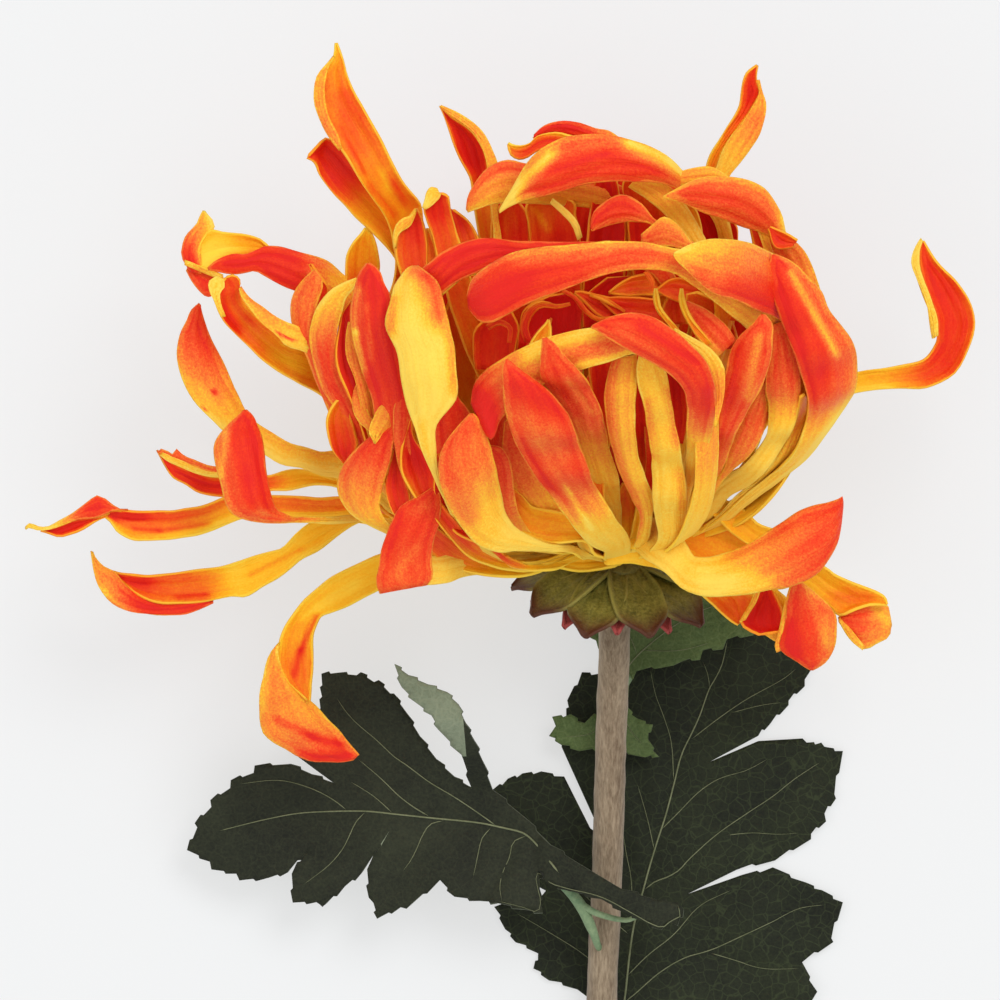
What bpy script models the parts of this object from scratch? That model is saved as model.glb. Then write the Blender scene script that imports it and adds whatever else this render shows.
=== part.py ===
"""A single chrysanthemum bloom on a cut, leafy stem, lying on a table.

The stem lies along -Y and the bloom's petals lean over it towards +Y. Z = 0 is the table.
All places below are in millimetres, and MM turns them into Blender's metres.
"""
import bpy
import bmesh
import math
import random
from mathutils import Vector
from mathutils.geometry import delaunay_2d_cdt

MM = 0.001
GAP = 0.3                      # clearance between two pieces that touch

# Bloom: the receptacle is where every petal is rooted, and the ball is the petals' round head
RECEPTACLE = Vector((22.3, 31.0, 25.0))
BALL_CENTRE = Vector((18.7, 70.8, 48.0))
BALL_RADIUS = 46.0
ROOT_RADIUS = 9.0              # petals are rooted on a ring of this radius
ROOT_RISE = 5.0                # and this far up the bloom's axis from the receptacle
PETAL_THICK = 1.1
CORE_HALF_LENGTH = 24.0
CORE_RADIUS = 19.0
BLADE_POINT = 15.0             # a petal is widest this far from its tip
BLADE_LENGTH = 36.0            # and narrows over this length to its claw
CLAW_SHARE = 0.48              # the claw's share of the full width
UNDER_PETALS = 15              # rows of petals on the side that the head lies on
UNDER_RADIUS = 42.0
UNDER_SWEEP = 90.0             # degrees that such a petal curves over the ball
LYING_CUT = 28.0               # and how much shorter it is right under the head
REST_PRESS = 0.7               # how much the resting petals are pressed flat
RESTING_ANGLES = (247.0, 270.0, 293.0)   # three more of them carry the head on the table
RESTING_SWEEP = 48.0
INNER_PETALS = 16
INNER_RADIUS = 26.0
SEED = 11

# Calyx: a whorl of bracts between the stem and the bloom
BRACTS = 10
BRACT_LENGTH = 20.0
BRACT_WIDTH = 9.5
BRACT_THICK = 1.2
HUB_RADIUS = 5.5
HUB_LENGTH = 5.0

# Stem
STEM_TOP_RADIUS = 3.0
STEM_CUT_RADIUS = 2.8
STEM_SIDES = 14
STEM_ROUTE = ((21.4, 8.0, 14.8), (20.9, -5.0, 12.3), (20.5, -20.0, 10.6), (20.0, -35.0, 9.0),
              (19.3, -50.0, 7.6), (18.9, -70.0, 6.0), (18.5, -90.0, 4.6), (18.2, -110.0, 3.4),
              (18.0, -127.8, 2.8))

# Leaves
LEAF_THICK = 0.9
PETIOLE_RADIUS = 1.6

AXIS = Vector((0.05, 0.85, 0.52)).normalized()
UP = Vector((0.0, 0.0, 1.0))

# Petals read one by one: widest part, turn of the inner face from facing straight up (degrees,
# spread evenly from root to tip, positive to the right as the petal runs), and the middle line
PETALS = (
    # long outer petals on the left
    (10.0, (50, 45, 40, 40, 50, 90), ((0, 37, 34), (-20, 40, 41), (-40, 40, 45), (-53, 39, 46),
     (-68, 36.5, 45), (-75, 38.8, 45), (-81, 38, 46), (-86, 36, 45), (-90.5, 36, 45))),
    (12.5, (60, 60, 65, 60, 40), ((0, 34.5, 30), (-14, 37.5, 33), (-25, 38, 35), (-35, 35, 36),
     (-45, 28.5, 36), (-58, 24, 35), (-66, 23, 34), (-73, 24, 34), (-77, 27.5, 35), (-78.1, 31.5, 36))),
    (11.0, (60, 70, 120, 180, 180), ((0, 33, 44), (-20, 36, 56), (-36, 38, 62), (-43, 38.5, 63),
     (-48, 42, 63), (-49.5, 48, 61), (-49.5, 54, 59), (-48.3, 58, 58))),
    (8.5, (60, 60, 40), ((0, 39, 32), (-20, 44, 38), (-32, 46, 41), (-44, 46, 42), (-54, 45.5, 42),
     (-60, 47.5, 42), (-65.5, 50.7, 43))),
    (10.5, (50, 40, 20, 0, -20), ((0, 38, 40), (-15, 42, 47), (-35, 48.5, 52), (-45, 53, 53),
     (-52, 57, 53), (-56, 62, 53), (-58, 67, 53), (-58.5, 73, 54), (-57.3, 78.5, 56))),
    (11.0, (60, 50, 40, 30, 100), ((5, 50, 40), (-10, 68, 48), (-20, 77, 52), (-28, 82, 54),
     (-38, 86, 55), (-48, 87.5, 55), (-56, 87.5, 55), (-58.5, 91, 55), (-56.4, 96, 54))),
    (10.0, (50, 40, 20, 10), ((5, 45, 42), (-12, 55, 52), (-25, 60, 56), (-34, 63.5, 59),
     (-43, 71, 61), (-48, 76, 61), (-51.5, 80.5, 61), (-51, 83.8, 62))),
    # broad petals standing up on the left of the ball
    (7.5, (30, 20, 10), ((8, 45, 40), (-10, 65, 48), (-22, 76, 50), (-26.3, 84, 50), (-26.3, 92.5, 51))),
    (8.0, (200, 190, 180), ((0, 45, 48), (-20, 57, 57), (-30, 64, 60), (-35, 71, 61),
     (-37, 77, 61), (-35.3, 86, 59))),
    (9.0, (180, 160, 150), ((3, 40, 52), (-14, 48, 62), (-24, 54, 66), (-30, 60.5, 68),
     (-33, 65, 68), (-34, 71, 68), (-32, 77, 67), (-27.3, 83.2, 65))),
    (7.5, (190, 180, 180), ((3, 38, 55), (-14, 48, 67), (-24, 56, 72), (-28, 63, 73),
     (-30, 70, 72), (-29, 77, 70))),
    (9.5, (190, 180, 180), ((5, 36, 55), (-8, 43, 68), (-19, 55, 76), (-22, 62, 78),
     (-24.5, 70, 77), (-25, 78, 75), (-25, 86, 71))),
    (14.0, (200, 190, 180, 180), ((10, 34, 55), (0, 37, 69), (-8, 41, 78), (-12.5, 48, 84),
     (-14.5, 56, 86), (-14, 62, 86), (-15, 70, 84), (-16.5, 78, 80), (-17, 85.3, 76))),
    (7.0, (190, 180, 180), ((-8, 40, 60), (-20, 44, 64), (-28.5, 48.5, 65), (-30.5, 52, 65),
     (-31, 57, 64), (-28, 62.3, 62))),
    (7.0, (190, 200, 180), ((-3, 38, 60), (-14, 45, 69), (-21, 50.5, 72), (-26, 55, 73),
     (-28, 61, 72), (-26.2, 66, 70))),
    # petals rising behind the head, towards +Y
    (12.5, (30, 10, -10, -20, 0), ((12, 55, 40), (0, 75, 50), (-8, 85, 55), (-16, 93, 58),
     (-19, 98, 59), (-23.5, 105, 60), (-27.5, 112, 60), (-31, 120, 60), (-31.3, 127.8, 60))),
    (12.0, (30, 20, 10, 10), ((8, 55, 34), (-6, 74, 43), (-18, 85, 48), (-22, 92, 50),
     (-29.5, 101, 51), (-34, 105, 51), (-37.2, 106.3, 51))),
    (8.0, (200, 190, 180), ((5, 60, 48), (-10, 76, 58), (-17, 86, 63), (-17.5, 92, 63), (-16, 97, 62))),
    (8.0, (180, 180, 180), ((8, 62, 50), (-5, 78, 60), (-11, 88, 65), (-11.5, 94, 65), (-13, 100.4, 64))),
    (9.5, (0, 20, 40, 40), ((15, 60, 40), (5, 80, 50), (-2, 93, 54), (-2.5, 100, 56),
     (-4, 105, 57), (-7, 110.5, 58), (-11.7, 116, 59))),
    (11.0, (180, 190, 200, 190), ((24, 70, 46), (22, 90, 60), (14, 100, 67), (5, 103, 69),
     (-1, 101, 68), (-6.3, 96.2, 66))),
    (12.0, (200, 190, 190, 180, 180), ((42, 55, 44), (47, 75, 58), (43, 90, 68), (38, 98, 73),
     (29, 104.5, 76), (21, 105.7, 77), (13, 104.5, 77), (6, 101.5, 76), (0, 95.8, 75))),
    (12.0, (200, 190, 180, 180), ((48, 50, 42), (57, 64, 51), (60, 75, 57), (57.5, 84, 63),
     (52, 92, 69), (44, 99, 72), (37, 99.8, 73), (30.5, 98.6, 73))),
    (8.0, (180, 170, 150), ((38, 65, 38), (37, 90, 50), (30, 104, 56), (20, 109.5, 59),
     (12, 111.5, 60), (5, 108.3, 60), (1.3, 107, 60))),
    (11.5, (-40, -50, -50, -40), ((36, 60, 34), (38, 80, 42), (38.5, 93, 47), (40, 102, 50),
     (42.5, 106, 51), (46, 112, 52), (47.5, 118, 53), (48.7, 123.8, 54))),
    # arches over the open top of the head
    (12.5, (180, 170, 180, 190, 180), ((48, 45, 46), (56, 58, 60), (55, 70, 72), (49, 78, 80),
     (41, 82.5, 86), (33, 86, 90), (25, 87.2, 92), (15, 86, 92), (5, 83.5, 90), (-2, 81, 88),
     (-6.5, 79.5, 86))),
    (12.5, (180, 180, 180, 180), ((50, 48, 50), (59, 60, 62), (59, 71, 73), (54, 79, 82),
     (47, 83.5, 89), (40, 86.5, 94), (33, 87.5, 97))),
    (8.5, (180, 180, 180), ((46, 62, 46), (42, 82, 62), (30, 92, 72), (18, 92, 77), (6, 90.5, 79),
     (-2, 89.5, 79), (-8, 87, 78), (-13, 83.5, 75))),
    (9.0, (170, 180, 180, 180), ((42, 48, 60), (45, 58, 75), (41, 66, 83), (33, 69, 87), (25, 69.5, 89),
     (18, 70.5, 90), (10, 70, 90), (3, 67, 88), (-1.5, 62, 86), (-3, 56, 83))),
    (8.5, (180, 180, 180, 180, 180), ((33, 37, 58), (36, 46, 74), (37.7, 55, 86), (37, 63, 92),
     (32, 69, 96), (26, 72.8, 97), (17.5, 74, 96))),
    # right side of the ball
    (12.5, (180, 180, 180), ((40, 38, 42), (48, 43, 54), (56, 49, 64), (61, 57, 71), (61.5, 64, 76),
     (59, 72, 80), (55, 80, 81), (51.5, 87, 80))),
    (11.5, (-60, -50, -30, 20, 30, 30), ((48, 50, 34), (58, 60, 40), (67, 63.5, 44), (73, 64.2, 45),
     (78.5, 65, 45), (83, 68, 45), (84.6, 74, 45), (83.5, 80, 45), (81.5, 86, 45), (79.8, 91, 44))),
    (8.5, (180, 180, 180), ((33, 36, 48), (37, 42, 62), (40, 46, 70), (43, 54, 79), (45, 62, 83),
     (46, 70, 83), (47.5, 77, 80))),
    (7.5, (180, 180, 180), ((35, 38, 42), (42, 46, 55), (47, 54, 64), (50, 62, 68), (49, 70, 68))),
    (9.0, (180, 180, 180), ((37, 40, 44), (44, 46, 58), (50, 51, 67), (53.5, 58, 73), (54.5, 66, 75),
     (52, 74, 75))),
    # front of the ball
    (11.0, (180, 180, 180), ((21, 34, 52), (17.5, 38, 66), (13, 45, 79), (9, 52, 88), (5, 60, 92),
     (1, 67.5, 92))),
    (8.5, (180, 180, 180), ((22.5, 36, 52), (21.5, 39, 63), (19.5, 45, 77), (17.5, 51, 86),
     (14.5, 58, 92), (11, 65, 94), (8, 72, 93))),
    (7.5, (180, 180, 180), ((26, 36, 50), (27.5, 41, 64), (25, 48, 76), (23, 55, 82), (22.5, 62, 84),
     (24.5, 69, 83))),
    (7.5, (180, 180, 180), ((30, 35, 50), (32, 40, 66), (32, 47, 78), (31, 54, 85), (29.5, 61, 87),
     (27.5, 68, 86))),
    (13.5, (180, 180, 180, 180), ((10, 32.5, 56), (3, 34, 68), (-3, 38, 76), (-6, 44, 81),
     (-6.5, 50, 83), (-5.5, 57.7, 83))),
    (7.5, (180, 180, 180), ((6, 37, 58), (-3, 42, 70), (-8.5, 49, 75), (-10.8, 57, 77), (-10.6, 64, 76))),
    (11.0, (190, 180, 180), ((5, 33, 48), (-10, 34.5, 60), (-19, 36, 66), (-25, 39, 69), (-26.5, 44, 70),
     (-24, 50, 70), (-19.5, 55.7, 69))),
    (7.5, (180, 180, 180), ((4, 34, 58), (-5, 36, 68), (-12, 41, 73), (-15, 48, 74), (-16, 54, 73))),
    (11.5, (60, 90, 160, 180), ((12, 30, 44), (3, 29, 52), (-8, 27, 60), (-15, 25.8, 66), (-18.3, 29, 70),
     (-17.6, 33, 71), (-16, 38, 72), (-12.5, 43.8, 72))),
    # drooping petals
    (13.0, (60, 60, 50, 20, -30, -60), ((8, 31, 36), (0, 30.5, 38), (-13, 29, 39), (-24, 27, 38),
     (-33, 21.5, 37), (-38.5, 13, 35), (-41, 4, 32), (-38, -3, 29), (-27.5, -8, 27))),
    (12.5, (-50, -40, -30, -30), ((29, 31, 44), (35, 27.5, 49), (42, 26.5, 52), (49, 28.5, 54),
     (55, 32, 55), (60, 36.5, 54), (64.5, 41.8, 53))),
    (12.5, (-30, -10, 0, 10), ((40, 34, 40), (49, 32.5, 44), (55, 29, 45), (58, 23, 43),
     (58.5, 16, 40), (58.5, 9.5, 37))),
    (10.5, (-50, -40, -20), ((44, 33, 36), (54, 30, 38), (61, 25.5, 38), (67, 22, 36), (71, 17.5, 33),
     (70, 13, 30))),
    (9.0, (-50, -40, -20), ((35, 29, 36), (41, 24.5, 38), (46, 20.5, 38), (49, 16.5, 36))),
    (7.0, (-60, -60, -60), ((34, 36, 36), (40, 38, 41), (46, 38, 42), (52, 35.5, 42))),
)

# Leaf outlines, run round each blade, with the lobes' tips, teeth and slits
LEFT_LEAF = (
    (-60.2, -25.7), (-58.2, -21.3), (-58.7, -20.5), (-55.5, -17.4), (-55.7, -16.1), (-51.9, -13.8),
    (-51.8, -12.3), (-47.4, -10.9), (-47.2, -9.5), (-40.3, -9.2), (-36.2, -11.2), (-31.9, -12.9),
    (-39.4, -7.4), (-34.6, 1.5), (-34.8, 3.2), (-34.3, 3.7), (-34.4, 8.1), (-31.1, 8.3), (-27.7, 7.8),
    (-26.9, 8.4), (-24.4, 6.5), (-23.5, 6.9), (-21.3, 4.3), (-20.6, 4.3), (-18, 0.4), (-15.6, -3.9),
    (-12.5, -8.2), (-9, -11.6), (-5.6, -13.8), (-7.6, -7.2), (-12.1, -2.3), (-13.3, 0.2), (-16.5, 2.8),
    (-19, 5.6), (-20.4, 10), (-17.8, 7.9), (-14, 6.1), (-10.5, 4.7), (-8.3, 2.4), (-6.8, -1.4),
    (-5.1, -4.8), (-3.6, -8.6), (-1.7, -14.1), (4, -19), (9.4, -24.6), (14.9, -28.2), (23, -33),
    (29.8, -35), (33.6, -35.5), (34.8, -36.9), (33.6, -40), (32, -39.1), (30.5, -40.8), (26.4, -38.8),
    (23.1, -37.3), (19, -34.9), (12.2, -33.2), (8.8, -31.8), (7.2, -29.4), (7.3, -33), (7.9, -37.6),
    (4.1, -36.9), (-0.7, -35.7), (-4.1, -35.3), (-9, -34.5), (-11.8, -31.3), (-18.2, -36.8),
    (-19.3, -36.5), (-23.8, -38.7), (-24.5, -35.7), (-25.4, -34.7), (-25.7, -29.3), (-21.5, -22.1),
    (-26.9, -30.2), (-30, -32.6), (-34.1, -36.4), (-35.4, -35.6), (-39.9, -35.7), (-40.1, -30.2),
    (-37, -25.4), (-40.9, -29.9), (-44.7, -31), (-50.1, -31.5), (-50.7, -30.2), (-55.5, -29.4),
    (-55.8, -27.9))
RIGHT_LEAF = (
    (22.6, -62.5), (24.6, -60), (30, -63.5), (36.5, -68.5), (41, -70.2), (41.8, -68.6), (46.5, -69.2),
    (47, -67.4), (51.5, -66.6), (52, -64.6), (56.4, -62), (56.2, -59.6), (60.5, -52.9), (57.6, -47.3),
    (63.6, -43.4), (63.2, -42.7), (65.4, -35.8), (61.4, -33.5), (58.3, -32), (52, -29.1), (46, -30.6),
    (35.7, -34.2), (45, -29.6), (52.4, -27.8), (59.3, -23.7), (59.3, -22.7), (62.2, -20.3),
    (61.9, -18.8), (64.1, -15.9), (63.8, -15.1), (65.4, -6.8), (61.9, -6), (61.3, -5.2),
    (58.5, -5.2), (57.7, -4.4), (49.2, -4.9), (39.9, -8.9), (49.2, -3.9), (51.5, -1.6), (55, 2),
    (55, 2.8), (58.1, 5.6), (58.1, 6.9), (59.4, 8.9), (58, 14.5), (56.2, 15), (54.5, 20), (50.5, 21.4),
    (46.8, 25.6), (43.4, 23), (41, 22.6), (37.4, 17), (33.5, 14.5), (27, 13), (20.5, 10.5), (18.6, 8),
    (15.4, 8.3), (12.6, 2.9), (12.4, -0.2), (11.5, -6), (17.6, -19.5), (22, -25.5), (17, -21.6),
    (12, -11.7), (7.6, -10.7), (4, -11.1), (1.2, -12.1), (-1.8, -14.3), (-3.5, -18), (-3, -21.5),
    (-5.2, -25), (-2.4, -28), (1.5, -31), (6, -31.5), (14.5, -34), (21, -38.5), (12, -36.5),
    (3, -35.2), (-1.4, -36.7), (0.7, -41), (2.7, -43.5), (7, -45.6), (6.1, -48.5), (9.1, -50.8),
    (14.5, -52.5), (18.5, -56.5), (20.5, -61.5))
UPPER_LEAF = (
    (21.4, 5.5), (19.5, 2), (15.9, -1.4), (13.2, 0.3), (9.7, -0.2), (10.4, -2), (9.1, -3.9),
    (11.5, -5.6), (14.9, -6.8), (21, -6.6), (27.5, -8), (30.2, -7.9), (28.1, -4.6), (29, -1.7),
    (26.1, -0.6), (24, 1.8), (24.4, 5.4), (25.8, 8.5), (32.9, 9.6), (34.8, 10.5), (38, 10.7),
    (38.5, 12.5), (42.4, 12.7), (43.1, 14.6), (48.2, 15.4), (50.5, 19), (48.5, 20.8), (47, 24.5),
    (42.5, 24.6), (40, 27.2), (35.5, 25.4), (30.5, 25.8), (27, 22), (22.5, 22.4), (19.5, 20.4),
    (15.3, 18.8), (16, 15.6), (18.1, 14.4), (18.5, 12.9), (21, 9.5))


def spline(points, shares):
    """Return the places at these shares of the length of a smooth curve through the points."""
    places = [Vector(p) for p in points]
    slopes = []
    for i in range(len(places)):
        before = places[max(i - 1, 0)]
        after = places[min(i + 1, len(places) - 1)]
        span = (places[i] - before).length + (after - places[i]).length
        slopes.append((after - before) / span)
    dense = []
    for i in range(len(places) - 1):
        step = (places[i + 1] - places[i]).length
        for k in range(12):
            t = k / 12
            dense.append((2 * t**3 - 3 * t**2 + 1) * places[i] + (t**3 - 2 * t**2 + t) * step * slopes[i]
                         + (3 * t**2 - 2 * t**3) * places[i + 1] + (t**3 - t**2) * step * slopes[i + 1])
    dense.append(places[-1])
    run = [0.0]
    for a, b in zip(dense, dense[1:]):
        run.append(run[-1] + (b - a).length)
    result = []
    k = 0
    for share in shares:
        target = run[-1] * share
        while k < len(run) - 2 and run[k + 1] < target:
            k += 1
        f = (target - run[k]) / max(run[k + 1] - run[k], 1e-9)
        result.append(dense[k].lerp(dense[k + 1], min(f, 1.0)))
    return result


def even(count):
    return [i / (count - 1) for i in range(count)]


def closer_at_tip(count):
    """Shares of a petal's length whose steps get shorter towards its tip."""
    return [1.0 - (1.0 - i / (count - 1)) ** 1.35 for i in range(count)]


def spread(values, t):
    """Read evenly spread values at share t of the way, eased between neighbours."""
    place = t * (len(values) - 1)
    i = min(int(place), len(values) - 2)
    f = place - i
    f = f * f * (3 - 2 * f)
    return values[i] + (values[i + 1] - values[i]) * f


def width_share(to_tip, length):
    """Petal width by the distance to its tip: a narrow claw, a broad blade, and a short point."""
    point = min(BLADE_POINT, 0.36 * length)
    if to_tip < point:
        return max(1.0 - (1.0 - to_tip / point) ** 2.4, 0.02) ** 0.75
    f = min((to_tip - point) / min(BLADE_LENGTH, 0.9 * (length - point)), 1.0)
    return 1.0 - (1.0 - CLAW_SHARE) * f * f * (3 - 2 * f)


def material(name, colour, roughness):
    mat = bpy.data.materials.new(name)
    mat.use_nodes = True
    shader = mat.node_tree.nodes["Principled BSDF"]
    shader.inputs["Base Color"].default_value = (*colour, 1.0)
    shader.inputs["Roughness"].default_value = roughness
    shader.inputs["Metallic"].default_value = 0.0
    return mat


def new_object(name, bm, mat=None, collection=None):
    """Make an object of a bmesh that is in millimetres."""
    bmesh.ops.scale(bm, vec=(MM, MM, MM), verts=bm.verts)
    mesh = bpy.data.meshes.new(name)
    bm.to_mesh(mesh)
    bm.free()
    obj = bpy.data.objects.new(name, mesh)
    (collection or bpy.context.scene.collection).objects.link(obj)
    if mat:
        mesh.materials.append(mat)
    return obj


def side_and_face(run, turn):
    """For a petal running along run, give its right-hand side and the way its inner face looks."""
    up = UP - run * UP.dot(run)
    up.normalize()
    right = run.cross(up)
    a = math.radians(turn)
    face = up * math.cos(a) + right * math.sin(a)
    return run.cross(face), face


def add_blade(bm, centres, widths, frames, thick, trough):
    """Loft a thin blade, arrow-shaped across, through rings of edge, inner rib, edge and outer rib."""
    rings = []
    for c, w, (side, face) in zip(centres, widths, frames):
        lift = face * (w * trough)
        half = min(thick / 2, w * 0.4)
        rings.append([bm.verts.new(c - side * (w / 2) + lift), bm.verts.new(c + face * half),
                      bm.verts.new(c + side * (w / 2) + lift), bm.verts.new(c - face * half)])
    for a, b in zip(rings, rings[1:]):
        for j in range(4):
            k = (j + 1) % 4
            if j % 2 == 0:                       # diagonals run from edge to rib on both faces
                bm.faces.new((a[j], a[k], b[k]))
                bm.faces.new((a[j], b[k], b[j]))
            else:
                bm.faces.new((a[j], a[k], b[j]))
                bm.faces.new((a[k], b[k], b[j]))
    for ring in (rings[0], rings[-1]):
        bm.faces.new((ring[0], ring[1], ring[3]))
        bm.faces.new((ring[1], ring[2], ring[3]))
    bmesh.ops.recalc_face_normals(bm, faces=bm.faces)


def root_towards(place):
    """Where on the receptacle's ring a petal that makes for the place is rooted."""
    centre = RECEPTACLE + AXIS * ROOT_RISE
    out = Vector(place) - centre
    out -= AXIS * out.dot(AXIS)
    return centre + out.normalized() * ROOT_RADIUS


def path_length(places):
    return sum((b - a).length for a, b in zip(places, places[1:]))


def petal(collection, width, turns, route, rings):
    path = [root_towards(route[0])] + [Vector(p) for p in route]
    shares = closer_at_tip(rings)
    centres = spline(path, shares)
    length = path_length(centres)
    widths = []
    frames = []
    for i, c in enumerate(centres):
        run = centres[min(i + 1, rings - 1)] - centres[max(i - 1, 0)]
        widths.append(width * width_share(length * (1 - shares[i]), length))
        frames.append(side_and_face(run.normalized(), spread(turns, shares[i])))
    bm = bmesh.new()
    add_blade(bm, centres, widths, frames, PETAL_THICK, 0.22)
    return new_object("petal", bm, collection=collection)


def ring_directions():
    """Two directions square to the bloom's axis: to its right, and to its front (upwards)."""
    front = (UP - AXIS * UP.dot(AXIS)).normalized()
    return AXIS.cross(front), front


def rule_petal(collection, angle, radius, sweep, width, rings):
    """A petal that curves over a ball of the radius, at an angle round the bloom's axis."""
    right, front = ring_directions()
    out = right * math.cos(angle) + front * math.sin(angle)
    centre = BALL_CENTRE - AXIS * (BALL_RADIUS - radius) * 0.5
    path = [RECEPTACLE + AXIS * ROOT_RISE + out * ROOT_RADIUS * 0.7]
    for k in range(4):
        bend = math.radians(-38 + sweep * k / 3)
        path.append(centre + (out * math.cos(bend) + AXIS * math.sin(bend)) * radius)
    shares = closer_at_tip(rings)
    centres = spline(path, shares)
    length = path_length(centres)
    widths = []
    frames = []
    for i, c in enumerate(centres):
        run = (centres[min(i + 1, rings - 1)] - centres[max(i - 1, 0)]).normalized()
        face = centre - c
        face = (face - run * face.dot(run)).normalized()
        widths.append(width * width_share(length * (1 - shares[i]), length))
        frames.append((run.cross(face), face))
    bm = bmesh.new()
    add_blade(bm, centres, widths, frames, PETAL_THICK, 0.2)
    return new_object("petal", bm, collection=collection)


def resting_radius(angle):
    """The radius at which a petal at this angle round the axis reaches just below the table."""
    right, front = ring_directions()
    out = right * math.cos(angle) + front * math.sin(angle)
    drop = math.hypot(out.z, AXIS.z)
    return (BALL_CENTRE.z + REST_PRESS) / drop - 0.5 * PETAL_THICK


def apply_boolean(obj, operation, other=None, collection=None, solver="EXACT"):
    cut = obj.modifiers.new("join", "BOOLEAN")
    cut.operation = operation
    cut.solver = solver
    if collection:
        cut.operand_type = "COLLECTION"
        cut.collection = collection
    else:
        cut.object = other
    view = bpy.context.evaluated_depsgraph_get()
    mesh = bpy.data.meshes.new_from_object(obj.evaluated_get(view))
    obj.modifiers.clear()
    old = obj.data
    obj.data = mesh
    bpy.data.meshes.remove(old)
    for piece in list(collection.objects) if collection else [other]:
        bpy.data.objects.remove(piece)
    if collection:
        bpy.data.collections.remove(collection)


def drop_scraps(obj):
    """Keep the largest body of a joined mesh, and drop the loose scraps that a cut left."""
    bm = bmesh.new()
    bm.from_mesh(obj.data)
    left = set(bm.verts)
    bodies = []
    while left:
        start = left.pop()
        body = {start}
        edge = [start]
        while edge:
            for link in edge.pop().link_edges:
                for v in link.verts:
                    if v in left:
                        left.remove(v)
                        body.add(v)
                        edge.append(v)
        bodies.append(body)
    bodies.sort(key=len)
    for body in bodies[:-1]:
        bmesh.ops.delete(bm, geom=list(body), context="VERTS")
    bm.to_mesh(obj.data)
    bm.free()


def half_space(place, normal, size=140.0):
    """A big box that fills the side of a plane that its normal points to."""
    bm = bmesh.new()
    bmesh.ops.create_cube(bm, size=size)
    bmesh.ops.translate(bm, vec=(0, 0, size / 2), verts=bm.verts)
    turn = UP.rotation_difference(Vector(normal).normalized()).to_matrix()
    bmesh.ops.rotate(bm, cent=(0, 0, 0), matrix=turn, verts=bm.verts)
    bmesh.ops.translate(bm, vec=Vector(place), verts=bm.verts)
    return new_object("cutter", bm)


def bloom():
    """Every petal and the head's core, joined in one body."""
    draw = random.Random(SEED)
    petals = bpy.data.collections.new("petals")
    bpy.context.scene.collection.children.link(petals)
    for width, turns, route in PETALS:
        petal(petals, width, turns, route, rings=7 + len(route) // 4)
    for i in range(UNDER_PETALS):
        angle = math.radians(188 + 164 * i / (UNDER_PETALS - 1) + draw.uniform(-4, 4))
        sweep = UNDER_SWEEP + LYING_CUT * math.sin(angle) + draw.uniform(-12, 4)
        rule_petal(petals, angle, UNDER_RADIUS - 3.5 * (i % 3), sweep, 11.0, 7)
    for angle in RESTING_ANGLES:
        radius = resting_radius(math.radians(angle))
        rule_petal(petals, math.radians(angle), radius, RESTING_SWEEP, 12.0, 8)
    for i in range(INNER_PETALS):
        angle = i * math.pi * (3 - math.sqrt(5))
        radius = INNER_RADIUS + draw.uniform(-4, 4)
        rule_petal(petals, angle, radius, UNDER_SWEEP + draw.uniform(-8, 15), 8.0, 6)
    bm = bmesh.new()
    bmesh.ops.create_icosphere(bm, subdivisions=2, radius=1.0)
    bmesh.ops.scale(bm, vec=(CORE_RADIUS, CORE_RADIUS, CORE_HALF_LENGTH), verts=bm.verts)
    turn = UP.rotation_difference(AXIS).to_matrix()
    bmesh.ops.rotate(bm, cent=(0, 0, 0), matrix=turn, verts=bm.verts)
    bmesh.ops.translate(bm, vec=RECEPTACLE + AXIS * CORE_HALF_LENGTH, verts=bm.verts)
    head = new_object("bloom", bm, material("petal", (0.92, 0.28, 0.08), 0.6))
    apply_boolean(head, "UNION", collection=petals, solver="MANIFOLD")
    table = half_space((0, 0, 0), (0, 0, -1), size=400.0)
    apply_boolean(head, "DIFFERENCE", other=table, solver="MANIFOLD")
    foot = half_space(RECEPTACLE + AXIS * 1.0, -AXIS, size=60.0)
    apply_boolean(head, "DIFFERENCE", other=foot, solver="MANIFOLD")
    drop_scraps(head)
    return head


def calyx():
    """A whorl of bracts on a short hub, bent back a little towards the stem."""
    right, front = ring_directions()
    whorl = bpy.data.collections.new("whorl")
    bpy.context.scene.collection.children.link(whorl)
    top = RECEPTACLE + AXIS * (1.0 - GAP)
    for i in range(BRACTS):
        angle = math.radians(360 * i / BRACTS)
        out = right * math.cos(angle) + front * math.sin(angle)
        centres = []
        widths = []
        frames = []
        for share, width, back in ((0.1, 5.0, 1.5), (0.45, 8.6, 1.6), (0.75, BRACT_WIDTH, 3.0),
                                   (0.9, 6.0, 5.0), (1.0, 0.8, 6.5)):
            back += 0.7 * (i % 2)
            centres.append(top + out * BRACT_LENGTH * share - AXIS * back)
            widths.append(width)
            frames.append((out.cross(AXIS), AXIS))
        bm = bmesh.new()
        add_blade(bm, centres, widths, frames, BRACT_THICK, -0.08)
        new_object("bract", bm, collection=whorl)
    bm = bmesh.new()
    bmesh.ops.create_cone(bm, cap_ends=True, segments=16, radius1=STEM_TOP_RADIUS + 0.6,
                          radius2=HUB_RADIUS, depth=HUB_LENGTH)
    turn = UP.rotation_difference(AXIS).to_matrix()
    bmesh.ops.rotate(bm, cent=(0, 0, 0), matrix=turn, verts=bm.verts)
    bmesh.ops.translate(bm, vec=top - AXIS * HUB_LENGTH / 2, verts=bm.verts)
    hub = new_object("calyx", bm, material("calyx_green", (0.12, 0.13, 0.03), 0.7))
    apply_boolean(hub, "UNION", collection=whorl, solver="MANIFOLD")
    return hub


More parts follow.
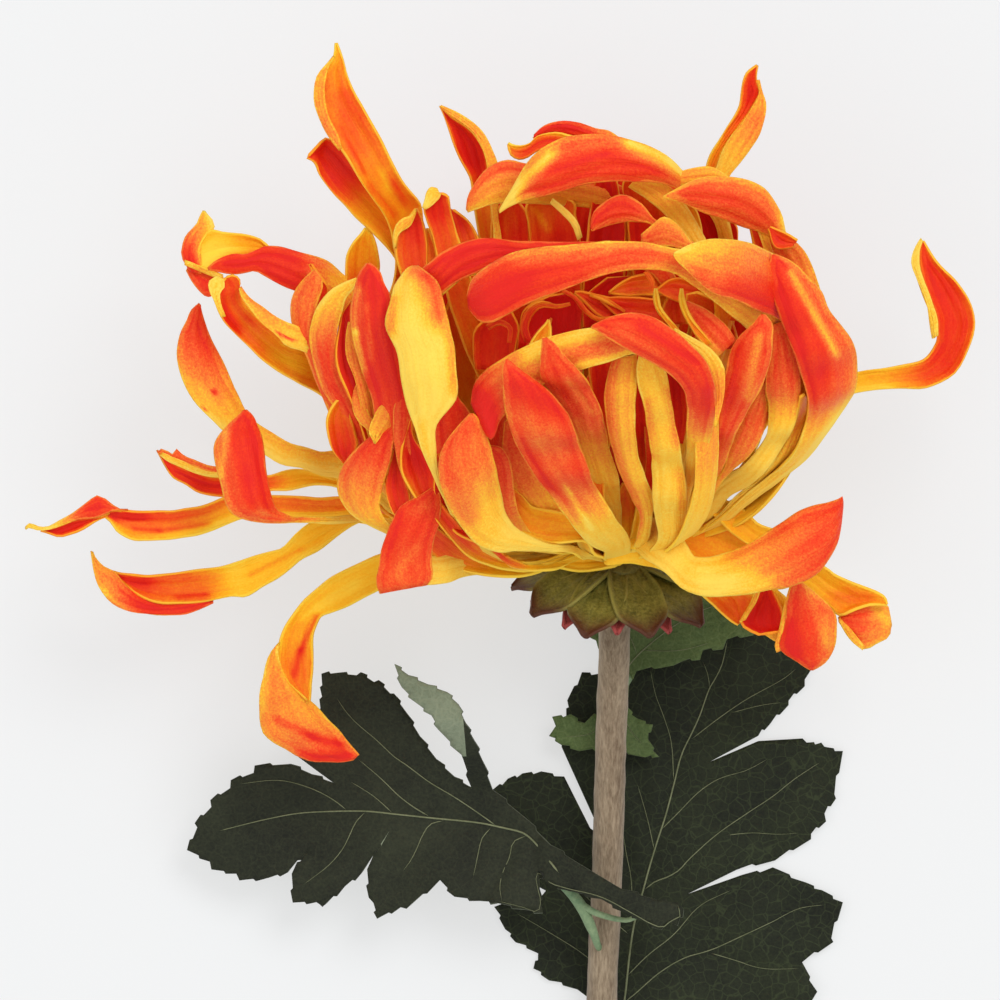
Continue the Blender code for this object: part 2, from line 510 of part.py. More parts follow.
def tube(bm, centres, radii, sides):
    """Loft a round tube square to its run, with flat ends."""
    rings = []
    for i, c in enumerate(centres):
        run = (centres[min(i + 1, len(centres) - 1)] - centres[max(i - 1, 0)]).normalized()
        side, face = side_and_face(run, 0)
        ring = []
        for k in range(sides):
            a = 2 * math.pi * k / sides
            ring.append(bm.verts.new(c + (side * math.cos(a) + face * math.sin(a)) * radii[i]))
        rings.append(ring)
    for a, b in zip(rings, rings[1:]):
        for k in range(sides):
            j = (k + 1) % sides
            bm.faces.new((a[k], a[j], b[j], b[k]))
    bm.faces.new(rings[0][::-1])
    bm.faces.new(rings[-1])
    bmesh.ops.recalc_face_normals(bm, faces=bm.faces)


def stem():
    """The cut stem, from just under the calyx down to its cut end on the table."""
    start = RECEPTACLE + AXIS * (1.0 - 2 * GAP - HUB_LENGTH)
    centres = spline((start, start - AXIS * 6.0) + STEM_ROUTE, even(22))
    radii = []
    for i in range(len(centres)):
        radii.append(STEM_TOP_RADIUS + (STEM_CUT_RADIUS - STEM_TOP_RADIUS) * i / (len(centres) - 1))
    bm = bmesh.new()
    tube(bm, centres, radii, STEM_SIDES)
    piece = new_object("stem", bm, material("felted_stem", (0.40, 0.30, 0.21), 0.9))
    table = half_space((0, 0, 0), (0, 0, -1), size=400.0)
    apply_boolean(piece, "DIFFERENCE", other=table, solver="MANIFOLD")
    return piece


def leaf(name, outline, height, spacing, mat, petiole):
    """A blade cut to the outline, laid over the height rule, and joined to its petiole."""
    inner = []
    xs = [p[0] for p in outline]
    ys = [p[1] for p in outline]
    rows = int((max(ys) - min(ys)) / spacing)
    for r in range(rows):
        y = min(ys) + (r + 0.5) * spacing
        x = min(xs) + spacing * (0.5 + 0.5 * (r % 2))
        while x < max(xs):
            if clear_inside((x, y), outline, spacing * 0.35):
                inner.append((x, y))
            x += spacing
    flat = [Vector(p) for p in list(outline) + inner]
    ring = list(range(len(outline)))
    verts, _, faces, _, _, _ = delaunay_2d_cdt(flat, [], [ring], 1, 1e-4)
    bm = bmesh.new()
    low = [bm.verts.new(height(v.x, v.y)) for v in verts]
    for f in faces:
        bm.faces.new([low[k] for k in f])
    bmesh.ops.recalc_face_normals(bm, faces=bm.faces)
    for v in low:
        v.normal_update()
    if sum(v.normal.z for v in low) < 0:
        bmesh.ops.reverse_faces(bm, faces=bm.faces)
        for v in low:
            v.normal_update()
    high = [bm.verts.new(v.co + v.normal * LEAF_THICK) for v in low]
    twin = dict(zip(low, high))
    edges = [e for e in bm.edges if e.is_boundary]
    under = list(bm.faces)
    for f in under:
        bm.faces.new([twin[v] for v in f.verts])
    for e in edges:
        a, b = e.verts
        bm.faces.new((a, b, twin[b]))
        bm.faces.new((a, twin[b], twin[a]))
    bmesh.ops.reverse_faces(bm, faces=under)
    bmesh.ops.recalc_face_normals(bm, faces=bm.faces)
    blade = new_object(name, bm, mat)
    bm = bmesh.new()
    centres = spline(petiole, even(7))
    radii = [PETIOLE_RADIUS - 0.6 * i / 6 for i in range(7)]
    tube(bm, centres, radii, 8)
    stalk = new_object("stalk", bm)
    apply_boolean(blade, "UNION", other=stalk, solver="MANIFOLD")
    return blade


def clear_inside(place, outline, margin):
    """True where a place is inside the outline and no nearer to it than the margin."""
    x, y = place
    inside = False
    for i in range(len(outline)):
        ax, ay = outline[i]
        bx, by = outline[(i + 1) % len(outline)]
        if (ay > y) != (by > y) and x < (bx - ax) * (y - ay) / (by - ay) + ax:
            inside = not inside
        edge = Vector((bx - ax, by - ay))
        t = max(0.0, min(1.0, Vector((x - ax, y - ay)).dot(edge) / edge.length_squared))
        if (Vector((ax, ay)) + edge * t - Vector((x, y))).length < margin:
            return False
    return inside


def off_rib(x, y, rib):
    """Distance from a leaf's middle rib, given as a list of places, and the share of the way along."""
    best = (1e9, 0.0)
    for i in range(len(rib) - 1):
        a = Vector(rib[i])
        edge = Vector(rib[i + 1]) - a
        t = max(0.0, min(1.0, (Vector((x, y)) - a).dot(edge) / edge.length_squared))
        d = (a + edge * t - Vector((x, y))).length
        best = min(best, (d, (i + t) / (len(rib) - 1)))
    return best


RIGHT_RIB = ((20.5, -61), (23.7, -53.5), (25.4, -40), (30.4, -23), (36.7, -2.9), (39.9, 5.3), (46.5, 24))
LEFT_RIB = ((11, -30), (4.9, -22.8), (-13.3, -19.5), (-26.1, -18.2), (-35.9, -18.4), (-49.4, -21),
            (-60, -25.5))
UPPER_RIB = ((22.6, 4), (30, 15), (46, 23))


def right_leaf_place(x, y):
    """The big leaf lies on the table, folded a little along its rib, and rises to its stalk."""
    d, t = off_rib(x, y, RIGHT_RIB)
    ripple = 0.5 * math.sin(x * 0.22 + 1.0) * math.sin(y * 0.2) * min(d / 20, 1)
    lift = max(0.0012 * max(d - 9.0, 0.0) ** 2 + ripple, 0.0)
    if y < -48:
        lift += 2.8 * ((-48 - y) / 14.0) ** 2 * max(1 - d / 26.0, 0.0)
    under_stem = math.exp(-((x - 19.0) / 7.0) ** 2)
    return Vector((x, y, lift * (1 - under_stem) + min(lift, 1.0) * under_stem))


def left_leaf_place(x, y):
    """The left leaf crosses in front of the stem and sinks towards its tip."""
    d, t = off_rib(x, y, LEFT_RIB)
    z = 17.0 - 9.0 * t + 0.10 * d + 0.6 * math.sin(x * 0.21) * math.sin(y * 0.24)
    if x > 8:
        z += 1.5
    if y > -13.8 and x > -5.6 - (y + 13.8) * 0.72:
        z += min((y + 13.8) * 0.8, 10.0) + min(x + 7.3, 0.0) * 0.2
    return Vector((x, y, z))


def upper_leaf_place(x, y):
    """The small leaf stands behind the stem, below the bloom."""
    d, t = off_rib(x, y, UPPER_RIB)
    return Vector((x, y, 5.2 + 2.2 * t + 0.04 * d + 0.3 * math.sin(x * 0.4)))


def leaves():
    dark = material("leaf_dark", (0.018, 0.028, 0.016), 0.75)
    light = material("leaf_light", (0.045, 0.085, 0.035), 0.75)
    leaf("leaf_right", RIGHT_LEAF, right_leaf_place, 8.0, dark,
         ((21.95, -65.0, 4.25), (23.4, -64.6, 3.3), (24.3, -61.0, 2.5), (24.5, -56.0, 2.0)))
    leaf("leaf_left", LEFT_LEAF, left_leaf_place, 7.0, dark,
         ((18.2, -44.5, 12.8), (16.0, -40.0, 14.5), (12.5, -35.5, 16.0), (8.5, -30.0, 16.5)))
    leaf("leaf_upper", UPPER_LEAF, upper_leaf_place, 7.0, light,
         ((21.2, -1.0, 8.2), (22.2, 4.0, 7.2), (24.5, 8.0, 6.4)))


for old in list(bpy.data.objects):
    bpy.data.objects.remove(old)
bloom()
calyx()
stem()
leaves()
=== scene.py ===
import math
import random

import bpy
import bmesh
from mathutils import Matrix, Vector, noise


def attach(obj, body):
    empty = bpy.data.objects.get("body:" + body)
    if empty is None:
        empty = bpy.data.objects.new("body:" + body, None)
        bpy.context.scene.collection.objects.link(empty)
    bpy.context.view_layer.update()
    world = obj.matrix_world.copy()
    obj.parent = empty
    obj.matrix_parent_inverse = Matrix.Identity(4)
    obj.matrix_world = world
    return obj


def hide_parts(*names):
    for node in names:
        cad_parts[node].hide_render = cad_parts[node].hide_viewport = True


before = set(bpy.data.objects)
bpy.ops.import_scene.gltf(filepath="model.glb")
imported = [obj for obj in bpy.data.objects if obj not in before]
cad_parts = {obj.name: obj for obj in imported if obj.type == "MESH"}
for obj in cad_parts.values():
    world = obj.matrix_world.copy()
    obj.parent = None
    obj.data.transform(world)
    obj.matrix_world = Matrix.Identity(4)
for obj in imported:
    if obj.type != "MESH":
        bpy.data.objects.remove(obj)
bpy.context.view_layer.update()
print("frame loaded")

mm = 0.001
up = Vector((0.0, 0.0, 1.0))

# the head as the frame has it; every place in this file is in millimetres
head = {"receptacle": Vector((22.3, 31.0, 25.0)), "axis": Vector((0.05, 0.85, 0.52)).normalized(),
        "ballCentre": Vector((18.7, 70.8, 48.0)), "ballRadius": 46.0, "rootRadius": 9.0, "rootRise": 5.0}


def smoothStep(low, high, x):
    t = min(max((x - low) / (high - low), 0.0), 1.0)
    return t * t * (3 - 2 * t)


def easedBetween(values, t):
    place = t * (len(values) - 1)
    i = min(int(place), len(values) - 2)
    return values[i] + (values[i + 1] - values[i]) * smoothStep(0, 1, place - i)


def bentBetween(a, b, slopeA, slopeB, step, t):
    # the place at t, 0 to 1, on a curve that leaves a and reaches b with these slopes
    return ((2 * t**3 - 3 * t**2 + 1) * a + (t**3 - 2 * t**2 + t) * step * slopeA
            + (3 * t**2 - 2 * t**3) * b + (t**3 - t**2) * step * slopeB)


def curveThrough(points, shares):
    # places at these shares of the length of a smooth curve through the points, and its length
    stepsEach = 12
    places = [Vector(p) for p in points]
    slopes = []
    for i, place in enumerate(places):
        before = places[max(i - 1, 0)]
        after = places[min(i + 1, len(places) - 1)]
        slopes.append((after - before) / ((place - before).length + (after - place).length))
    dense = []
    for i in range(len(places) - 1):
        step = (places[i + 1] - places[i]).length
        dense += [bentBetween(places[i], places[i + 1], slopes[i], slopes[i + 1], step, k / stepsEach)
                  for k in range(stepsEach)]
    dense.append(places[-1])
    run = [0.0]
    for a, b in zip(dense, dense[1:]):
        run.append(run[-1] + (b - a).length)
    found = []
    k = 0
    for share in shares:
        target = run[-1] * share
        while k < len(run) - 2 and run[k + 1] < target:
            k += 1
        f = (target - run[k]) / max(run[k + 1] - run[k], 1e-9)
        found.append(dense[k].lerp(dense[k + 1], min(f, 1.0)))
    return found, run[-1]


def flowThrough(places, runs, ats):
    # the places at these distances along, on a smooth curve that has the given places at the given runs
    last = len(places) - 1
    slopes = []
    for i in range(len(places)):
        a, b = max(i - 1, 0), min(i + 1, last)
        before = (places[i] - places[a]) / max(runs[i] - runs[a], 1e-6)
        after = (places[b] - places[i]) / max(runs[b] - runs[i], 1e-6)
        share = (runs[b] - runs[i]) / (runs[b] - runs[a])
        slopes.append(after if a == i else before if b == i else before * share + after * (1 - share))
    found = []
    k = 0
    for at in ats:
        while k < last - 1 and runs[k + 1] < at:
            k += 1
        step = runs[k + 1] - runs[k]
        t = min((at - runs[k]) / step, 1.0)
        found.append(bentBetween(places[k], places[k + 1], slopes[k], slopes[k + 1], step, t))
    return found


def offLine(x, y, line):
    # the distance to a line of places, and the share of the way along where it is nearest
    best = (1e9, 0.0)
    for i in range(len(line) - 1):
        ax, ay = line[i]
        ex, ey = line[i + 1][0] - ax, line[i + 1][1] - ay
        t = max(0.0, min(1.0, ((x - ax) * ex + (y - ay) * ey) / (ex * ex + ey * ey)))
        best = min(best, (math.hypot(ax + ex * t - x, ay + ey * t - y), (i + t) / (len(line) - 1)))
    return best


def srgb(r, g, b):
    linear = []
    for c in (r, g, b):
        c /= 255
        linear.append(c / 12.92 if c <= 0.04045 else ((c + 0.055) / 1.055) ** 2.4)
    return (*linear, 1.0)


def feed(tree, node, sockets):
    # each socket is linked to the value where that is another node's output, and set to it otherwise
    for key, value in sockets.items():
        if isinstance(value, bpy.types.NodeSocket):
            tree.links.new(value, node.inputs[key])
        else:
            node.inputs[key].default_value = value


def addNode(tree, kind, sockets=None, **values):
    node = tree.nodes.new(kind)
    for key, value in values.items():
        setattr(node, key, value)
    feed(tree, node, sockets or {})
    return node


def mathNode(tree, operation, *values, clamp=False):
    return addNode(tree, "ShaderNodeMath", dict(enumerate(values)), operation=operation, use_clamp=clamp).outputs[0]


def rampOf(tree, stops, source):
    node = addNode(tree, "ShaderNodeValToRGB", {0: source})
    elements = node.color_ramp.elements
    while len(elements) < len(stops):
        elements.new(0.5)
    for element, (place, colour) in zip(elements, stops):
        element.position = place
        element.color = colour
    return node.outputs[0]


def mixOf(tree, share, a, b):
    return addNode(tree, "ShaderNodeMix", {0: share, "A": a, "B": b}, data_type="RGBA").outputs["Result"]


def reliefOf(tree, height, strength, distance):
    sockets = {"Strength": strength, "Distance": distance * mm, "Height": height}
    return addNode(tree, "ShaderNodeBump", sockets).outputs[0]


def objectPlace(tree):
    return addNode(tree, "ShaderNodeTexCoord").outputs["Object"]


def noiseOf(tree, place, scale, detail, roughness, **values):
    sockets = {"Vector": place, "Scale": scale, "Detail": detail, "Roughness": roughness}
    return addNode(tree, "ShaderNodeTexNoise", sockets, **values).outputs["Fac"]


def newGroup(name, inputs, outputs):
    group = bpy.data.node_groups.new(name, "ShaderNodeTree")
    for label, kind, value in inputs:
        socket = group.interface.new_socket(name=label, in_out="INPUT", socket_type=kind)
        if value is not None:
            socket.default_value = value
    for label in outputs:
        group.interface.new_socket(name=label, in_out="OUTPUT", socket_type="NodeSocketFloat")
    return group, addNode(group, "NodeGroupInput").outputs, addNode(group, "NodeGroupOutput")


def newMaterial(name):
    mat = bpy.data.materials.new(name)
    mat.use_nodes = True
    return mat, mat.node_tree, mat.node_tree.nodes["Principled BSDF"]


sprayNoises = {"streak": (1.0, 5.0, 0.66), "grain": (2300.0, 3.0, 0.75), "cloud": (170.0, 4.0, 0.6)}
# the streaks' stretch, and how much each noise adds to the redness, to the edge's line and to the relief
sprayMix = {"stretch": (190.0, 7.0, 1.0), "swing": 2.0, "cloud": 0.3, "halfwayMore": 3.0, "everywhere": 0.3,
            "gapScale": 2.0, "gapStreak": 0.14, "gapCloud": 0.2, "paleLine": 0.25, "reliefStreak": 0.8,
            "reliefGrain": 0.35}
# by the distance from the cut edge: a pale edge, then a darker line, and 0.5 where neither shows
edgeContour = ((0.0, 0.12), (0.04, 0.18), (0.06, 0.42), (0.2, 0.44), (0.26, 0.58), (0.33, 0.57), (0.45, 0.5))


def makeSprayGroup():
    # how red a point of a petal is: its dye, lighter at the cut edge, with a darker line inside the edge,
    # and broken up by long streaks and by the spray's fine grain
    group, given, end = newGroup(
        "sprayedDye",
        (("Dye", "NodeSocketFloat", 0.5), ("Petal Map", "NodeSocketVector", None),
         ("Edge Gap", "NodeSocketFloat", 1.0), ("Streaks", "NodeSocketFloat", 0.2),
         ("Grain", "NodeSocketFloat", 0.1), ("Contour", "NodeSocketFloat", 0.8)),
        ("Redness", "Relief"))

    def plus(a, b, clamp=False):
        return mathNode(group, "ADD", a, b, clamp=clamp)

    def times(a, b):
        return mathNode(group, "MULTIPLY", a, b)

    def swingOf(value, share):
        return times(mathNode(group, "SUBTRACT", value, 0.5), share)

    stretched = addNode(group, "ShaderNodeMapping", {"Vector": given["Petal Map"], "Scale": sprayMix["stretch"]})
    streak = noiseOf(group, stretched.outputs[0], *sprayNoises["streak"], noise_dimensions="2D")
    place = objectPlace(group)
    grain = noiseOf(group, place, *sprayNoises["grain"])
    cloud = noiseOf(group, place, *sprayNoises["cloud"])
    dye = given["Dye"]
    halfway = times(dye, mathNode(group, "SUBTRACT", 1.0, dye))
    streaky = swingOf(streak, times(given["Streaks"], sprayMix["swing"]))
    grainy = swingOf(grain, times(given["Grain"], sprayMix["swing"]))
    unevenness = plus(plus(streaky, swingOf(cloud, sprayMix["cloud"])), grainy)
    share = mathNode(group, "MULTIPLY_ADD", halfway, sprayMix["halfwayMore"], sprayMix["everywhere"])
    broken = times(unevenness, share)
    wander = plus(swingOf(streak, sprayMix["gapStreak"]), swingOf(cloud, sprayMix["gapCloud"]))
    gap = plus(times(given["Edge Gap"], sprayMix["gapScale"]), wander)
    outline = rampOf(group, [(at, (v, v, v, 1)) for at, v in edgeContour], gap)
    lined = times(swingOf(outline, given["Contour"]), plus(dye, sprayMix["paleLine"]))
    relief = plus(times(streak, sprayMix["reliefStreak"]), times(grain, sprayMix["reliefGrain"]))
    feed(group, end, {"Redness": plus(plus(dye, broken), lined, clamp=True), "Relief": relief})
    return group


sprayGroup = makeSprayGroup()


def petalMaterial(name, channel, stops, streaks, grain, contour, roughness, bump):
    # its redness comes from one channel of the dye attribute, and its colour from the redness
    mat, tree, shader = newMaterial(name)
    dye = addNode(tree, "ShaderNodeAttribute", attribute_name="dye").outputs
    split = addNode(tree, "ShaderNodeSeparateColor", {0: dye["Color"]})
    flat = addNode(tree, "ShaderNodeUVMap", uv_map="petalMap")
    sockets = {"Dye": split.outputs[channel], "Petal Map": flat.outputs[0], "Edge Gap": dye["Alpha"],
               "Streaks": streaks, "Grain": grain, "Contour": contour}
    spray = addNode(tree, "ShaderNodeGroup", sockets, node_tree=sprayGroup).outputs
    feed(tree, shader, {"Base Color": rampOf(tree, [(at, srgb(*rgb)) for at, rgb in stops], spray["Redness"]),
                        "Normal": reliefOf(tree, spray["Relief"], bump, 0.3),
                        "Roughness": roughness, "Specular IOR Level": 0.16})
    return mat


petalMaterials = (
    petalMaterial("petalInner", 0, (
        (0.0, (251, 208, 60)), (0.15, (250, 186, 30)), (0.3, (246, 150, 22)), (0.5, (240, 108, 18)),
        (0.68, (234, 72, 14)), (0.85, (226, 40, 10)), (1.0, (207, 19, 10))), 0.09, 0.2, 0.7, 0.46, 0.8),
    petalMaterial("petalOuter", 1, (
        (0.0, (250, 212, 84)), (0.15, (250, 190, 48)), (0.3, (247, 158, 48)), (0.5, (242, 120, 44)),
        (0.68, (238, 84, 34)), (0.85, (233, 53, 18)), (1.0, (222, 32, 24))), 0.09, 0.42, 0.9, 0.5, 1.0),
    petalMaterial("petalEdge", 2, (
        (0.0, (252, 212, 66)), (0.5, (250, 160, 34)), (1.0, (240, 92, 28))), 0.1, 0.2, 0.0, 0.55, 0.3))


def makeMottleGroup():
    # cloudy and fine-grained change of a leaf's or stem's colour, and a relief to go with it
    group, given, end = newGroup(
        "mottle",
        (("Cloud Scale", "NodeSocketFloat", 60.0), ("Grain Scale", "NodeSocketFloat", 1500.0),
         ("Stretch", "NodeSocketVector", (1.0, 1.0, 1.0))),
        ("Cloud", "Grain"))
    shaped = addNode(group, "ShaderNodeVectorMath", {0: objectPlace(group), 1: given["Stretch"]}, operation="MULTIPLY")
    feed(group, end, {"Cloud": noiseOf(group, shaped.outputs[0], given["Cloud Scale"], 4.0, 0.65),
                      "Grain": noiseOf(group, shaped.outputs[0], given["Grain Scale"], 3.0, 0.65)})
    return group


mottleGroup = makeMottleGroup()


def mottledMaterial(name, low, high, cloudScale, grainScale, roughness, bump, stretch=(1, 1, 1),
                    spread=(0.35, 0.65), grainShare=0.35, sheen=0.0, specular=0.3):
    # the material, and the output that has its colour
    mat, tree, shader = newMaterial(name)
    sockets = {"Cloud Scale": cloudScale, "Grain Scale": grainScale, "Stretch": stretch}
    mottle = addNode(tree, "ShaderNodeGroup", sockets, node_tree=mottleGroup).outputs
    both = mathNode(tree, "ADD", mathNode(tree, "MULTIPLY", mottle["Cloud"], 1 - grainShare),
                    mathNode(tree, "MULTIPLY", mottle["Grain"], grainShare))
    colour = rampOf(tree, ((spread[0], srgb(*low)), (spread[1], srgb(*high))), both)
    feed(tree, shader, {"Base Color": colour, "Normal": reliefOf(tree, mottle["Grain"], bump, 0.2),
                        "Roughness": roughness, "Specular IOR Level": specular, "Sheen Weight": sheen})
    return mat, colour


# the net of fine veins: its cells, how far and how finely their threads wander, and how wide they are
veinNet = {"scale": 430.0, "shift": 0.0016, "shiftScale": 300.0, "thread": 0.055}


def leafMaterial(name, near, far, net, netStrength):
    # dark between the veins, with the fine net of veins as paler threads
    mat, colour = mottledMaterial(name, near, far, 70.0, 1900.0, 0.62, 0.6, grainShare=0.5, sheen=0.05, specular=0.18)
    tree = mat.node_tree
    place = objectPlace(tree)
    wobble = addNode(tree, "ShaderNodeTexNoise", {"Vector": place, "Scale": veinNet["shiftScale"]})
    shifted = addNode(tree, "ShaderNodeVectorMath", {0: wobble.outputs["Color"], 1: (veinNet["shift"],) * 3, 2: place},
                      operation="MULTIPLY_ADD")
    cells = addNode(tree, "ShaderNodeTexVoronoi", {"Vector": shifted.outputs[0], "Scale": veinNet["scale"]},
                    feature="DISTANCE_TO_EDGE")
    thread = rampOf(tree, ((0.0, (netStrength,) * 3 + (1,)), (veinNet["thread"], (0, 0, 0, 1))),
                    cells.outputs["Distance"])
    feed(tree, tree.nodes["Principled BSDF"], {"Base Color": mixOf(tree, thread, colour, srgb(*net))})
    return mat


leafDark = leafMaterial("leafDark", (13, 17, 8), (36, 42, 23), (66, 76, 46), 0.34)
leafLeft = leafMaterial("leafLeft", (18, 21, 12), (44, 48, 32), (64, 68, 46), 0.16)
leafUnder = leafMaterial("leafUnder", (104, 114, 92), (128, 137, 114), (142, 148, 124), 0.3)
leafLight = leafMaterial("leafLight", (58, 75, 38), (91, 108, 62), (110, 124, 80), 0.28)
leafRim, _ = mottledMaterial("leafRim", (60, 66, 52), (96, 102, 84), 200.0, 2500.0, 0.8, 0.4)
veinPale, _ = mottledMaterial("veinPale", (92, 98, 68), (126, 130, 98), 300.0, 2500.0, 0.7, 0.4)
stalkGreen, _ = mottledMaterial("stalkGreen", (84, 112, 80), (138, 156, 118), 150.0, 1500.0, 0.6, 0.4)
stemFelt, _ = mottledMaterial("stemFelt", (100, 82, 63), (160, 143, 119), 200.0, 2300.0, 0.9, 1.0,
                              stretch=(1.0, 0.2, 1.0), spread=(0.36, 0.64), grainShare=0.5, sheen=0.2)
coreRed, _ = mottledMaterial("coreRed", (168, 12, 4), (206, 40, 8), 200.0, 2000.0, 0.7, 0.4)
print("materials made")


def finishPiece(bm, name, materials, node, slot, thickness=0.0):
    # the piece's object at the origin, in metres, with its wall from a Solidify modifier
    bmesh.ops.scale(bm, vec=(mm, mm, mm), verts=bm.verts)
    mesh = bpy.data.meshes.new(name)
    bm.to_mesh(mesh)
    bm.free()
    piece = bpy.data.objects.new(name, mesh)
    bpy.context.scene.collection.objects.link(piece)
    for mat in materials:
        mesh.materials.append(mat)
    mesh.polygons.foreach_set("use_smooth", [True] * len(mesh.polygons))
    if thickness:
        wall = piece.modifiers.new("wall", "SOLIDIFY")
        wall.thickness = thickness * mm
        wall.offset = 0.0
        wall.material_offset = 1
        wall.material_offset_rim = 2
        wall.use_even_offset = False
    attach(piece, "root")
    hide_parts(node)


def mapGrid(bm, across, along, placeAt, flatAt=None, dyeAt=None):
    # a grid whose corners are moved to where placeAt says; u runs -1..1 across and s 0..1 along
    dyeLayer = bm.verts.layers.float_color.get("dye") or bm.verts.layers.float_color.new("dye")
    flatLayer = bm.loops.layers.uv.get("petalMap") or bm.loops.layers.uv.new("petalMap")
    made = bmesh.ops.create_grid(bm, x_segments=across, y_segments=along, size=1.0)["verts"]
    spots = {v: (v.co.x, (v.co.y + 1) / 2) for v in made}
    for v, spot in spots.items():
        if dyeAt:
            v[dyeLayer] = dyeAt(*spot)
        for loop in v.link_loops:
            loop[flatLayer].uv = flatAt(*spot) if flatAt else spot
        v.co = placeAt(*spot)
    return made


def tubeAlong(bm, points, radii, sides, stepLength, rough=0.0):
    # a round tube through the points, wrapped from a grid, its seam and ends closed
    bumps = {"across": 1.6, "along": 0.35}
    _, length = curveThrough(points, (0.0,))
    rings = max(4, int(length / stepLength))
    centres, _ = curveThrough(points, [i / rings for i in range(rings + 1)])
    frames = []
    for i in range(rings + 1):
        run = (centres[min(i + 1, rings)] - centres[max(i - 1, 0)]).normalized()
        above = (up - run * up.dot(run)).normalized()
        frames.append((run.cross(above), above))

    def placeAt(u, s):
        i = round(s * rings)
        side, above = frames[i]
        radius = easedBetween(radii, s) if 0 < i < rings else 0.0
        a = math.pi * u
        if rough and radius:
            at = (math.cos(a) * bumps["across"], math.sin(a) * bumps["across"], s * length * bumps["along"])
            radius *= 1 + rough * noise.noise(Vector(at))
        return centres[i] + side * math.cos(a) * radius + above * math.sin(a) * radius

    made = mapGrid(bm, sides, rings, placeAt)
    bmesh.ops.remove_doubles(bm, verts=made, dist=1e-4)


def ringDirections():
    front = (up - head["axis"] * up.dot(head["axis"])).normalized()
    return head["axis"].cross(front), front


def outwards(angle):
    # the way out from the bloom's axis at this angle round it, in radians
    right, front = ringDirections()
    return right * math.cos(angle) + front * math.sin(angle)


def rootTowards(place):
    centre = head["receptacle"] + head["axis"] * head["rootRise"]
    out = Vector(place) - centre
    out -= head["axis"] * out.dot(head["axis"])
    return centre + out.normalized() * head["rootRadius"]


# the streaks' map of each petal: its scale, where each petal's own patch of it lies, by its number, and the
# least half-width; and the gap to the edge, in mm, that the dye attribute has as 1
petalMap = {"scale": 0.01, "step": (0.731, 0.377), "leastHalf": 1.5, "gap": 10}
# the noises along a petal: what is added on one side of its middle, the wavelength in mm, and a row of its own
uneven = {"wander": (0, 16, 2.2), "flutter": (0, 6, 6.1), "stripWave": (2.3, 8, 1.7), "stripSway": (0, 13, 4.4),
          "nudge": (5, 4, 8.8), "ruleWave": (3, 9, 1.7), "ruleSway": (0, 14, 5.1)}


def unevenAt(kind, seed, u, at):
    shift, wavelength, row = uneven[kind]
    return noise.noise(Vector((seed + shift * (u > 0), at / wavelength, row)))


stripShape = {"columns": 18, "edgeCrowd": 1.25, "ringStep": 1.15, "leastRings": 10, "mostRings": 78, "tipCrowd": 1.2,
              "thickness": 0.6, "bulge": 0.34, "wave": 0.66, "crease": 0.26, "rootWidth": 3.4, "ballWidth": 6.0,
              "mostTurn": 2.05, "leastReach": 30.0, "rootShares": (0.33, 0.67), "softTip": 5.0, "sway": 0.6,
              "nudge": 0.18, "folds": 3.0, "wander": 0.5, "flutter": 0.12, "fullFold": 4, "foldShade": 0.04,
              "leastHeight": 24.0, "mostTilt": 0.8, "seedStep": 3.17, "bulgeLift": 0.55, "foldDepth": 0.7,
              "foldSwing": 0.6, "foldLeast": 0.3, "sideOver": 0.9, "tipFrom": 0.8, "hiddenDye": 0.3}
stripLook = {"start": 0.25, "full": 0.7, "left": 0.0, "right": 0.0, "mid": 0.0, "tip": 0.0, "ball": 0.0, "bulge": 1.0,
             "root": "ball", "strokes": (), "rim": 0.58, "inner": 0.06}


def mapSpot(across, along, number):
    scale, step = petalMap["scale"], petalMap["step"]
    return (across * scale + number * step[0], along * scale + number * step[1])


